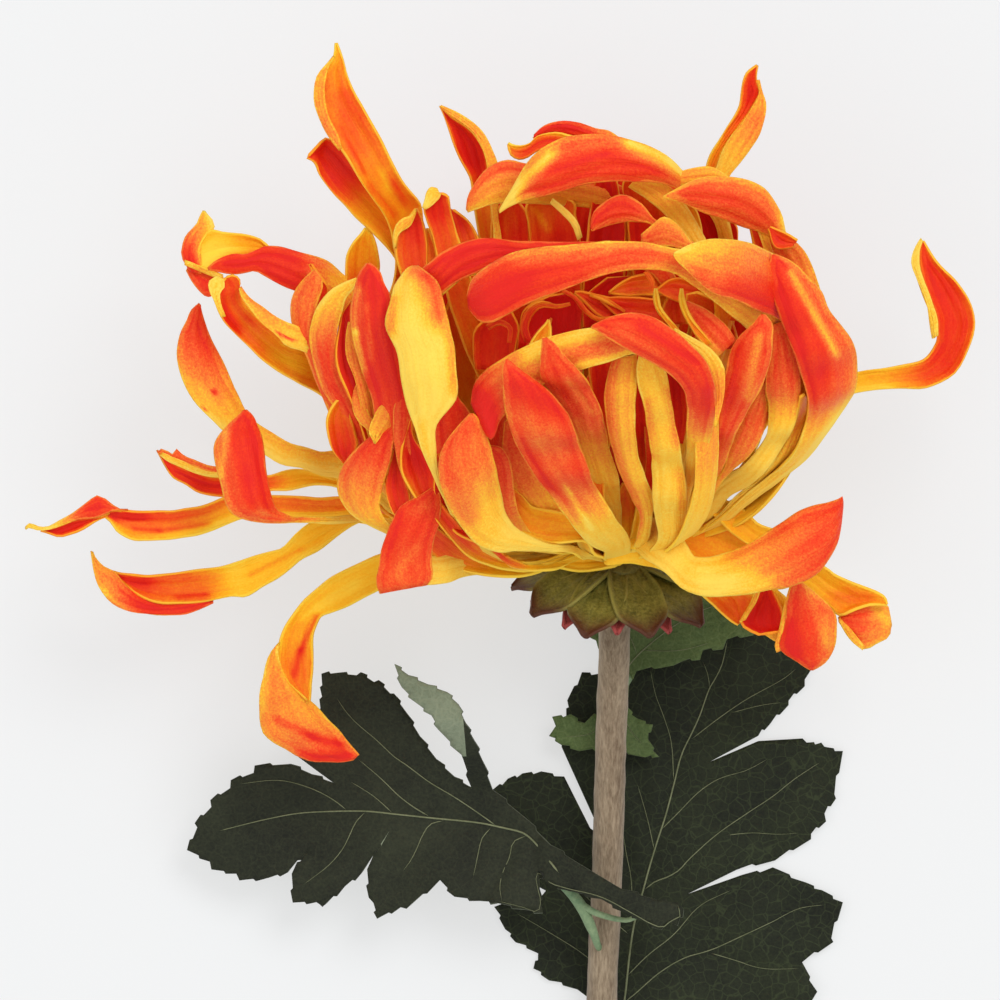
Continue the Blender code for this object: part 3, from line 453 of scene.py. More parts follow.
def growStrip(bm, number, face, base, deep, depths, stations, look):
    # a petal between its left and right edges as the camera sees them, root to tip: "in" shows its inner face
    toCamera = 1.0 if face == "in" else -1.0
    left = []
    right = []
    for i, (lx, ly, rx, ry) in enumerate(stations):
        z = easedBetween(depths, i / (len(stations) - 1))
        left.append(Vector((lx, ly, z)))
        right.append(Vector((rx, ry, z)))
    hidden = 0
    if look["root"]:
        first = (left[0] + right[0]) / 2
        root = rootTowards(first)
        widen = (right[0] - left[0]).normalized()
        lines = [(root - widen * stripShape["rootWidth"] / 2, root + widen * stripShape["rootWidth"] / 2)]
        centre = head["ballCentre"]
        fromRoot, toFirst = root - centre, first - centre
        turn = fromRoot.rotation_difference(toFirst)
        if look["root"] == "ball" and turn.angle < stripShape["mostTurn"] and toFirst.length > stripShape["leastReach"]:
            for share in stripShape["rootShares"]:
                spoke = Matrix.Rotation(turn.angle * share, 3, turn.axis) @ fromRoot.normalized()
                place = centre + spoke * (fromRoot.length * (1 - share) + toFirst.length * share)
                side = turn.axis.cross(spoke).cross(spoke) * -toCamera
                half = min(stripShape["ballWidth"], (right[0] - left[0]).length) / 2
                side = side.lerp(widen, share).normalized() * half
                lines.append((place - side, place + side))
        left = [a for a, b in lines] + left
        right = [b for a, b in lines] + right
        hidden = len(lines)
    runs = [0.0]
    for i in range(1, len(left)):
        runs.append(runs[-1] + ((left[i] + right[i] - left[i - 1] - right[i - 1]) / 2).length)
    seen = runs[hidden]
    length = runs[-1]
    rings = min(max(stripShape["leastRings"], int(length / stripShape["ringStep"])), stripShape["mostRings"])
    ats = [length * (1.0 - (1.0 - i / rings) ** stripShape["tipCrowd"]) for i in range(rings + 1)]
    lefts = flowThrough(left, runs, ats)
    rights = flowThrough(right, runs, ats)
    seed = number * stripShape["seedStep"]

    def spotOf(u, s):
        # the distance along, the place across as the camera sees it, and the two edges there
        i = round(s * rings)
        crowd = stripShape["edgeCrowd"]
        return ats[i], math.sin(u * crowd) / math.sin(crowd) * toCamera, lefts[i], rights[i]

    def foldAt(u, at):
        # the height of the long folds, -1 in a valley and 1 on a ridge; they wander and fade along the petal
        wander = unevenAt("wander", seed, u, at) * stripShape["wander"]
        wander += unevenAt("flutter", seed, u, at) * stripShape["flutter"]
        swing = noise.noise(Vector((seed + 9, at / 10, u * 1.5)))
        depth = stripShape["foldDepth"] + stripShape["foldSwing"] * swing
        return math.cos(stripShape["folds"] * math.pi * (u + wander) + seed) * depth * (1 - u**6)

    def placeAt(u, s):
        at, u, a, b = spotOf(u, s)
        half = (b - a).length / 2
        place = a + (b - a) * (u + 1) / 2
        soft = smoothStep(0, stripShape["softTip"], length - at)
        lift = stripShape["bulge"] * look["bulge"] * half * (stripShape["bulgeLift"] - u * u) * -toCamera
        lift += stripShape["crease"] * foldAt(u, at) * min(half / stripShape["fullFold"], 1) * soft
        lift += unevenAt("stripWave", seed, u, at) * u * u * stripShape["wave"] * soft
        lift += unevenAt("stripSway", seed, u, at) * stripShape["sway"]
        if look["ball"]:
            out = place - head["ballCentre"]
            steep = Vector((out.x, out.y, 0)) / max(place.z - head["ballCentre"].z, stripShape["leastHeight"])
            most = stripShape["mostTilt"] * half
            lift -= min(max(steep.dot(place - (a + b) / 2) * look["ball"], -most), most)
        place.z += lift
        nudge = unevenAt("nudge", seed, u, at) * stripShape["nudge"] * u * u * soft
        return place + (b - a).normalized() * nudge

    def dyeAt(u, s):
        # red for the inner face, green for the outer one, blue for the rim and alpha for the gap to the edge
        at, u, a, b = spotOf(u, s)
        along = max(at - seen, 0.0) / (length - seen)
        body = base + (deep - base) * smoothStep(look["start"], look["full"], along)
        over = stripShape["sideOver"]
        body += look["mid"] * (1 - u * u) + look["left"] * smoothStep(0, over, -u)
        body += look["right"] * smoothStep(0, over, u) + look["tip"] * smoothStep(stripShape["tipFrom"], 1.0, along)
        # the redness rises and falls with the long folds: painted shade along the folds
        body += stripShape["foldShade"] * foldAt(u, at) * toCamera * (stripShape["foldLeast"] + body)
        place = a + (b - a) * (u + 1) / 2
        # strokes change the redness along given lines; most are the petal's own streaks and margins, some are painted
        # highlights and painted shade
        for x1, y1, x2, y2, reach, amount in look["strokes"]:
            gap, _ = offLine(place.x, place.y, ((x1, y1), (x2, y2)))
            body += amount * math.exp(-(gap / reach) ** 2)
        if at < seen:
            body *= smoothStep(stripShape["hiddenDye"], 1.0, at / seen)
        body = min(max(body, 0.0), 1.0)
        gap = (1 - abs(u)) * (b - a).length / 2
        return (min(body + look["inner"], 1.0), body, look["rim"] * body, min(gap / petalMap["gap"], 1.0))

    def flatAt(u, s):
        i = round(s * rings)
        half = (rights[i] - lefts[i]).length / 2
        return mapSpot(u * max(half, petalMap["leastHalf"]), ats[i], number)

    mapGrid(bm, stripShape["columns"], rings, placeAt, flatAt, dyeAt)


def strip(face, base, deep, depths, *stations, **look):
    # one petal or part of it: the face it shows, its dye at the root and the tip, its height (one, or several from
    # root to tip), then its stations from root to tip (left x, y, right x, y), and what else its look needs
    return face, base, deep, depths if isinstance(depths, tuple) else (depths, depths), stations, {**stripLook, **look}


def flap(*given, **look):
    # a strip without a root, because another part of the petal or of the bloom covers its start
    return strip(*given, root=None, **look)


# the petals that the photograph shows, each between its edges as they are seen
crown = (
    strip("in", 0.3, 0.36, (52, 60, 60, 60), (-20.3, 89, -15, 91.5), (-21.8, 94.5, -15.3, 97),
          (-25.5, 99.8, -18.5, 101.2), (-28.6, 105, -21, 105.8), (-31.5, 109.5, -23.3, 110.3),
          (-34.3, 114.2, -26, 115), (-35.2, 118.5, -28, 118.8), (-34.3, 122, -29.3, 122),
          (-31.9, 125.3, -30.2, 125.3), (-31.5, 127.9, -31.2, 127.9), right=0.1, tip=-0.2,
          # among its strokes, the paler spot at (-22.5, 104) is a painted highlight and the red line from (-25, 100.5)
          # to (-20, 95) is painted shade in its trough
          strokes=((-30, 117, -27.5, 108, 2.2, 0.14), (-22.5, 104, -21.5, 100.5, 0.9, -0.14),
          (-20.5, 102, -18.5, 98, 0.7, 0.2), (-25, 100.5, -20, 95, 0.7, 0.2), (-19, 95, -17, 90, 2.5, -0.15),
          (-30.5, 112, -26, 103, 0.5, 0.15))),
    flap("out", 0.5, 0.35, 61.5, (-30.6, 107.6, -30.3, 107.8), (-32.6, 110.2, -31.2, 110.6),
         (-34.4, 113.5, -33, 114.3), (-35.3, 116.5, -33.6, 117), (-35.4, 119, -33.6, 119), (-34.9, 121.5, -33.3, 121),
         (-33.5, 123.4, -32.8, 123), (-31.8, 125.2, -31.7, 125.4)),
    strip("in", 0.3, 0.84, (50, 55, 57), (-21, 88.5, -16, 91.5), (-25.6, 93, -19.5, 96.3), (-29, 96.5, -23.2, 100.6),
          (-32.3, 100, -27.3, 104.3), (-34.6, 103.3, -30.6, 108), (-35.2, 104.9, -33.4, 109.9),
          (-35.8, 105.6, -35, 108.3), (-36.9, 106.1, -36.4, 106.8), start=0.35, full=0.7, left=-0.1),
    strip("in", 0.6, 0.78, 62, (-18.5, 82.5, -14, 84), (-19.8, 87, -14.1, 87), (-20, 90.5, -14.3, 90.5),
          (-19.3, 93.2, -14.7, 93.3), (-17.6, 94.8, -15.3, 95), (-16.3, 96.5, -16, 96.5), left=-0.15),
    flap("out", 0.2, 0.3, 63, (-20.3, 89, -20, 89), (-20.4, 91, -19.6, 91.2), (-20, 93, -18.8, 92.2),
         (-18.6, 94.5, -17.4, 93.2), (-17, 95.1, -16.8, 94.4), (-16.2, 96.4, -16.2, 96.3)),
    strip("in", 0.55, 0.8, (63, 65), (-12, 86.5, -7.8, 89.5), (-13, 91, -8.8, 93), (-14.2, 94.5, -9.6, 95.8),
          (-14.6, 96.8, -9.9, 97.6), (-13.3, 98.6, -10.4, 99), (-12.2, 99.4, -11.2, 99.3), right=-0.1),
    flap("out", 0.05, 0.15, 66.5, (-14.9, 96.5, -14.3, 96.3), (-14.4, 98, -13.3, 97), (-14, 99.6, -12.4, 97.9),
         (-13.2, 100.4, -11.8, 98.6), (-12.2, 100.1, -11.6, 99.2)),
    strip("in", 0.4, 0.5, 61, (-14.2, 85, -12, 85.5), (-14.2, 89, -12.6, 89), (-14.2, 92.8, -13.9, 92.8)),
    strip("in", 0.55, 0.72, 60, (-8, 87, -3.5, 88), (-8.8, 91, -4.6, 91.3), (-9.4, 94.3, -6.6, 94.4),
          (-9.8, 96.5, -9, 96.2)),
    strip("in", 0.35, 0.9, (52, 58), (-3.7, 88, -1, 88), (-4.9, 95, -1.8, 95), (-5.5, 100, -2.3, 100.5),
          (-6, 102.6, -2.5, 103.5), (-7.9, 106.2, -2.9, 106.2), (-9.1, 109.2, -4.2, 109.4), (-10, 112, -6.6, 112),
          (-11, 114.3, -9.5, 114), (-11.7, 116, -11.5, 115.9), start=0.3, full=0.6),
    flap("out", 0.25, 0.35, 59, (-1.2, 88.5, 0, 88.5), (-1.6, 95, -0.6, 95), (-2.3, 100.5, -0.6, 101.5),
         (-2.6, 103.8, -0.8, 104.8), (-3.2, 107, -1.8, 107.7), (-5, 110.3, -3.4, 110.6), (-8, 113.1, -6, 113.1),
         (-10.3, 114.7, -9, 114.9), (-11.6, 116, -11.4, 115.8)),
    strip("out", 0.35, 0.4, (58, 66, 68, 67), (16, 97, 22, 101), (10, 97.3, 15.5, 103.2), (6, 97.5, 10, 104),
          (2.5, 97.7, 4.5, 104.8), (0, 97.6, 1, 105.4), (-2.2, 97.2, -2.8, 103.8), (-4, 96.6, -5, 101),
          (-5.6, 96.1, -6.3, 98.2), (-6.4, 95.8, -6.5, 96.3), right=0.35, left=-0.2),
    strip("out", 0.2, 0.82, (62, 71, 75, 77, 77, 75, 74), (38, 97, 40, 99), (33.5, 100.2, 34.3, 103.3),
          (30, 101.3, 31.3, 106.2), (26, 101.5, 26.5, 108.6), (21, 101.6, 21, 110), (16, 101, 16, 110.2),
          (11.5, 99.7, 11, 109.3), (7.5, 98.6, 7, 107), (3.8, 97.8, 4.6, 104.3), (1.2, 96.6, 2, 99.8),
          (-0.4, 95.6, -0.3, 96), start=0, full=0.35, right=-0.3, tip=-0.45,
          strokes=((24, 108.6, 36, 102.5, 1.4, -0.5), (9.4, 103.2, 19.3, 106.6, 0.6, 0.15),
          (19.3, 106.6, 29.9, 103.4, 0.6, 0.15), (1, 97, 6, 98.6, 1, -0.35), (0, 97, 9.4, 106.5, 1.2, -0.6))),
    strip("out", 0.2, 0.78, (63, 68, 72, 73, 73), (52.5, 84, 57, 86), (51.6, 90.6, 54, 91), (48.4, 92.2, 52.6, 95.8),
          (45, 93.3, 50, 99.6), (41, 94.7, 46.5, 101.6), (37.5, 96, 41, 102.4), (34.4, 97.3, 37, 101.9),
          (32.3, 98, 33.5, 100.2), (30.5, 98.4, 30.6, 98.5), start=0.1, full=0.4, right=-0.35, left=-0.15, tip=-0.25),
    strip("out", 0.7, 1, 58, (24, 105, 24, 108), (20, 108, 20.5, 111), (16, 109.9, 18, 111.6),
          (12.5, 110.6, 14.5, 112.9), (9, 111, 10.8, 113), (7, 110.4, 8, 112), (6, 109.8, 6.3, 110.4), right=-0.15),
    strip("in", 0.6, 0.75, 59.5, (26, 105, 26, 108), (20, 108.3, 20, 109.8), (14, 107.5, 14.5, 110),
          (9.5, 108, 10, 110.9), (7, 107.6, 6.8, 110.3), (4.5, 106, 5, 108.8), (3, 105.9, 3.3, 108.4),
          (1.6, 107, 1.8, 108.7), (1.3, 108.6, 1.3, 109), right=-0.35, tip=-0.4),
    strip("out", 0.7, 0.85, (70, 72), (34, 88, 36, 90), (31, 91, 31.5, 93), (28.3, 93.6, 28.8, 94.5),
          (25, 94.1, 26, 97.4), (22, 93.8, 22.5, 98.9), (19.5, 93.1, 19.2, 97.3), (17.8, 92.5, 17.4, 95.3),
          (17, 92.2, 17, 92.9), left=-0.2),
    strip("out", 0.5, 0.62, 75, (34, 89, 34, 92), (32, 89.3, 32.6, 93.6), (30, 89.2, 30.6, 94.6),
          (28, 89.2, 28.8, 93.3), (26.4, 90.3, 26.4, 91.3), right=-0.2),
    strip("in", 0.3, 0.8, (50, 52, 54), (38.5, 98, 40.3, 98), (38.5, 103, 40.3, 103), (39.4, 106.5, 41.4, 106.3),
          (40.9, 108.9, 42.8, 109.2), (42.6, 111.8, 45, 112), (44.3, 114.4, 46.8, 114.6), (45.3, 116.5, 48.2, 117),
          (45.5, 118.6, 48.9, 118.6), (45.9, 120.9, 48.4, 121), (46.6, 122.4, 48.4, 122.4),
          (48.4, 123.8, 48.6, 123.7), start=0.3, full=0.8, left=-0.15),
    strip("out", 0.15, 0.4, 53, (40.5, 98, 42.8, 98), (40.5, 102.5, 42.8, 102.3), (41.1, 105.3, 45.1, 105.3),
          (42.2, 108, 47, 107.8), (43.5, 110.2, 48.6, 110.2), (45.4, 112.5, 49.4, 112.3), (46.8, 114.6, 50, 114.6),
          (48.2, 117, 50, 117), (48.9, 118.6, 49.5, 118.6), (48.4, 121, 48.8, 121), right=0.1),
    strip("out", 0.25, 0.35, 68, (46, 97, 46, 99), (43, 101, 42.5, 102.5), (40, 101.5, 40, 104), (37, 101.2, 37, 104),
          (34.5, 101, 34.2, 103.4), (32.4, 101.3, 32.4, 102.5)),
    strip("out", 0.2, 0.5, (58, 66, 70), (58, 66, 64, 72), (57.5, 74, 62.5, 76), (56.5, 78, 60.7, 78.5),
          (55.5, 82, 60, 82), (53.5, 86, 58.7, 85.5), (51.5, 88.5, 57, 88.6), (50.8, 90.5, 54.3, 91.1),
          (50.6, 92.6, 51.5, 92.4), left=0.1),
    flap("in", 0.7, 0.75, 70.5, (55, 89, 56, 90.5), (52, 88.8, 54.1, 91.5), (50.4, 92.5, 50.8, 93)),
    strip("in", 0.9, 0.95, (50, 58), (36.5, 82, 48, 82), (36.5, 86, 46, 86), (37.5, 90, 44.8, 90.2),
          (36.8, 94, 44.2, 93.8), (36.2, 96.6, 40, 96.8), inner=0.1),
    strip("in", 0.2, 0.3, 62, (35.5, 87.5, 38.5, 87), (34.2, 91.2, 38, 90.5), (32.7, 94, 37.6, 93.8),
          (31.3, 96.8, 36.4, 96.8), (30.2, 99, 34, 98.5), left=0.1),
    strip("in", 0.65, 0.75, 64, (48, 86, 52, 86), (47.6, 90, 51.5, 88.5), (47, 93, 50.3, 91.9)),
    strip("in", 0.72, 0.5, (56, 60), (5.5, 86, 15, 87), (5.5, 90, 14.8, 91), (5, 94, 14, 95), (5.2, 97.8, 12.8, 98.3),
          (7, 99, 10, 99.4), strokes=((6, 96.5, 9, 92.5, 0.6, -0.3), (11, 89, 10.5, 97, 1.2, 0.15))),
    strip("in", 0.82, 0.72, (55, 58), (-2.5, 87, 5, 88), (-2, 91, 5.2, 92), (-1.5, 95, 4.6, 96), (0, 97.4, 3, 98),
          strokes=((1, 90, 1.5, 96, 1.5, -0.15),)),
    flap("in", 0.9, 0.8, 49, (17.5, 88, 36, 88), (18.5, 94, 35.5, 94), (19.5, 99, 35, 99), (21.5, 102.5, 33.5, 102.5),
         (26, 104, 30, 104), bulge=0.3),
    flap("in", 0.8, 0.75, 52, (12.3, 90, 17.5, 88), (12.6, 93, 17.5, 93), (13.2, 97.5, 18, 97.5),
         (14.5, 100, 17, 99.5), bulge=0.3),
    flap("out", 0.12, 0.2, 66, (37.5, 85.5, 40.5, 86.5), (35, 90.5, 38.2, 91.5), (31.5, 95, 35, 96.8),
         (27.5, 98.3, 31, 101), (24, 100.6, 25.6, 102.4), bulge=0.7),
    strip("in", 0.9, 0.85, (56, 60), (16, 88, 23.5, 90), (16.5, 93, 23.5, 94), (17, 97.5, 22.5, 98.5),
          (17.5, 101, 22, 101), (18.5, 104.5, 21, 104.5), inner=0.1),
    strip("in", 0.75, 0.5, (57, 63), (24.5, 89, 31, 90), (24, 93, 32, 94), (23.5, 97.5, 30.5, 98),
          (23, 101, 30, 101.2), (24, 104, 29, 104), left=0.15, right=-0.15),
    flap("out", 0.05, 0.1, 66.5, (14.5, 90.5, 15.2, 91), (13.6, 93, 14.5, 93.4), (11.4, 95.6, 12.1, 96.2),
         (9.2, 97.6, 9.6, 98.3)),
)
arches = (
    strip("out", 0.75, 0.97, (70, 76, 79, 78, 76), (24, 86, 26, 89), (14, 86.5, 16, 90), (8, 87.8, 9, 89.9),
          (3, 87, 3.5, 90.1), (-1.5, 86, -1, 90.5), (-5, 84.2, -5.5, 90.4), (-8.5, 82.6, -9.5, 88.9),
          (-11.3, 80.4, -13, 86.5), (-13, 79, -15.5, 84), (-14.5, 79, -16, 81), start=0, full=0.4, tip=-0.15),
    flap("out", 0.2, 0.2, 77.5, (-11.3, 80, -11.2, 80.9), (-10, 81.2, -9.9, 82.2), (-8.5, 82.4, -8.3, 83.4),
         (-7, 83.3, -6.8, 84.2), (-5, 84, -4.6, 84.6)),
    strip("out", 0.3, 0.94, (60, 77, 84, 88, 90, 92, 93, 93, 92, 91, 90, 89, 87, 86), (52, 66, 58, 70),
          (46, 74, 51, 80), (40.3, 78.6, 43, 85), (36, 82, 37.5, 87.5), (32, 84.3, 32.5, 88.6), (27, 84.9, 27, 89.6),
          (21, 84.2, 20.5, 89.9), (15, 82.3, 14.5, 89.3), (9, 80, 8, 88.8), (4, 78, 3, 88), (0.5, 76, -1, 86.3),
          (-2, 74.9, -4, 84.2), (-4.6, 75.6, -5.8, 82), (-6.1, 77.6, -6.3, 80), start=0.2, full=0.85, left=-0.12,
          right=-0.26, strokes=((20, 89, 2, 87.2, 1.8, -0.2), (30, 86, 18, 84.6, 1.2, -0.05),
          (2, 82, -3, 79, 3.5, 0.15))),
    strip("out", 0.75, 0.5, (66, 76, 84, 90, 92, 94, 96, 96), (56, 70, 58, 80), (52.5, 75.3, 53, 86.3),
          (48, 77.2, 48.3, 89), (44, 79.1, 44.5, 90.1), (40, 80.2, 40.5, 90.4), (37, 82.5, 37.3, 90),
          (34.6, 84.7, 34.6, 89), (33, 86.4, 32.9, 88), (32.4, 87.5, 32.4, 87.7), left=0.2, right=-0.2, tip=-0.2,
          strokes=((52, 80, 44, 81.5, 2.5, 0.2), (40, 88.5, 35, 87.5, 2, -0.15))),
    strip("out", 0.45, 0.5, (78, 86, 90, 90, 90, 89, 87, 85, 83, 82), (34, 64, 38, 70), (28, 67.5, 30, 73),
          (24.8, 68.9, 25, 74), (20, 67.5, 20, 74), (15.3, 66, 15.5, 73.4), (10.5, 64.5, 10, 72.2),
          (5.5, 62, 4.8, 70.3), (2, 59.2, 0.5, 67.9), (-0.5, 56.3, -3, 65.5), (-2.6, 53.4, -5.3, 62),
          (-4.3, 56.6, -5.6, 59.5), tip=0.4, strokes=((5, 69, 17, 72.8, 2, -0.42), (15, 67, 25, 69.5, 1, -0.35),
          (25, 71, 10, 68.5, 2, 0.15), (-3.5, 60, -2.5, 55, 2.5, 0.35), (1, 64, -1, 60, 2, 0.1))),
    strip("out", 0.12, 0.83, (58, 66, 76, 84, 90, 93, 95, 96, 96, 96), (34.9, 43, 36, 44), (34.9, 47, 37.4, 47),
          (35, 51, 38.9, 51), (35, 55, 39.8, 55), (35, 59, 40.3, 59), (34.2, 62.5, 40, 63), (31.8, 65.1, 38.9, 66.5),
          (28, 67.5, 36.4, 69.6), (24.5, 69.3, 32.6, 73), (21.8, 70.7, 28.5, 75.5), (19.6, 72.1, 24, 76.3),
          (17.6, 73.4, 20, 75.3), (16.8, 73.8, 17.2, 74), start=0.2, full=0.55,
          strokes=((26, 73.8, 36, 67.5, 0.7, 0.2), (22, 73, 30, 69.5, 1, -0.1), (38, 55, 38.6, 62, 1.2, 0.15))),
    flap("out", 0.4, 0.1, 84, (40.2, 55, 40.6, 55.5), (40.4, 59.5, 41.6, 60), (40, 63, 41.9, 63.6),
         (38.8, 66, 41.6, 66.8), (37, 69, 39.5, 69.6), (34.6, 71, 36, 71.8), (32.3, 73.2, 32.6, 73.6)),
    flap("in", 0.2, 0.35, 84, (4.7, 69, 9.3, 70), (5.6, 71.2, 9.3, 72.5), (6.9, 73, 9.3, 73.8),
         (8.2, 74.4, 9.1, 74.6), (8.8, 75.3, 9, 75.3)),
)
rightBall = (
    strip("in", 0.1, 0.78, (42, 44, 45, 45), (52, 62, 50, 58), (60, 64, 60, 60), (67.2, 65.6, 67.2, 61.7),
          (75.7, 66.8, 75.7, 62.6), (80.3, 68, 81, 62.7), (82.4, 70.8, 86.2, 65.6), (82.8, 72.5, 88.6, 69.8),
          (82.6, 76, 89.9, 75.2), (81.6, 79, 89.1, 78.5), (80.4, 82.5, 86.8, 82.3), (79.4, 86, 83.2, 85.9),
          (79.4, 88.5, 81.5, 88.3), (79.9, 90.6, 80.2, 90.5), start=0.3, full=0.62, right=-0.15),
    flap("out", 0.15, 0.1, 46.5, (82, 72, 82.8, 72.5), (81.3, 76, 82.6, 76), (80.3, 79.5, 81.4, 79.5),
         (78.8, 83.3, 80, 83.3), (77.8, 86.5, 79.3, 86.3), (78.4, 89, 79.4, 89), (79.7, 91, 79.9, 90.6)),
    strip("out", 0.12, 0.85, (44, 54, 62, 69, 74, 77, 79, 80), (44.8, 41, 46.5, 40.4), (50, 45.4, 52.5, 44.9),
          (53.6, 48.3, 58.2, 49.7), (56.2, 52, 62, 54.8), (57.6, 56.5, 65.3, 59.6), (57.8, 60.5, 67, 63),
          (56.8, 64.3, 67.2, 67), (55.4, 68.5, 66.3, 71), (53.9, 72.5, 63.8, 74.5), (52.6, 75.8, 61.6, 77.5),
          (51.6, 78.8, 60.4, 80.5), (50.9, 82.5, 57.8, 83.3), (50.6, 85.5, 54.5, 86.3), (50.9, 87.6, 51.5, 87.6),
          start=0.3, full=0.62, ball=0.3, right=-0.3, strokes=((54.5, 84, 63, 69, 0.8, -0.5),
          (56, 70, 52.5, 80, 2, 0.2), (59, 60, 60, 66, 1.5, 0.15))),
    strip("out", 0.4, 0.74, (50, 62, 71, 77, 81, 83, 83), (36.5, 43.5, 39.5, 44.2), (38.3, 47.5, 41.7, 47.2),
          (39.5, 51, 43.2, 51.3), (40.2, 54.5, 44.5, 54.5), (40.7, 58, 46.3, 58), (41.5, 61.5, 48.5, 61.8),
          (42.3, 65.3, 50, 65.6), (43.1, 69, 50.8, 69.2), (44.8, 72, 51, 72.2), (47.3, 74.3, 50.9, 74.6),
          (49, 76.3, 49.6, 76.3), start=0, full=0.5, strokes=((46.5, 61, 48.5, 72, 1, -0.3),
          (43.5, 60, 45, 70, 1, 0.15))),
    strip("out", 0.42, 0.58, (52, 62, 66), (40, 44, 41, 44), (41.8, 46.5, 43.5, 47), (42.8, 50, 47, 50),
          (44.3, 54, 49.4, 54), (45.8, 57.5, 50.1, 57.5), (48, 61, 49.9, 61), (49.3, 63.5, 49.6, 63.5)),
    strip("out", 0.05, 0.7, (44, 56, 65, 71, 74), (39.5, 43, 43, 41.8), (42.5, 46, 47, 44.2),
          (46.3, 48.3, 50.5, 47.5), (49, 51.5, 53.4, 52), (50.4, 55, 55.3, 55.5), (50.6, 59, 56.2, 59.5),
          (49.9, 62.8, 56.4, 63.5), (50.3, 66.5, 55.9, 67), (50.9, 70.5, 54.8, 71), (51.3, 74.5, 53, 75), start=0.5,
          full=0.8),
    strip("out", 0.1, 0.3, (44, 56, 68), (44, 41.5, 46.5, 42), (48.5, 45, 52, 47), (52, 49.5, 55.5, 51.5),
          (54.5, 54, 57.2, 56.5), (56, 58, 57.5, 60.5), (56.3, 60.8, 57.3, 61.3)),
    flap("out", 0.7, 0.75, 80, (41, 68.5, 44.3, 71.5), (38.5, 70.8, 42.8, 73.8), (36.2, 73.5, 40, 76.3),
         (34.8, 76.4, 37.4, 77.8), (34, 79, 35.2, 78.6), left=-0.35),
    flap("in", 0.35, 0.15, 81, (33.5, 71.5, 34.5, 72), (32.5, 73, 33, 74), (30.8, 75, 31.7, 75.3),
         (29.3, 77, 30, 77.5), (28.7, 79.5, 29.6, 79.5), (28.9, 81.2, 29.2, 81.2)),
    flap("in", 0.35, 0.15, 81, (38.5, 70.4, 39.6, 70.8), (37.2, 71.7, 38.7, 72), (35.3, 74.5, 36.6, 74.5),
         (34, 77, 35.1, 77), (33.5, 79.5, 34.4, 79.5), (33.8, 81.2, 34.1, 81.2)),
)
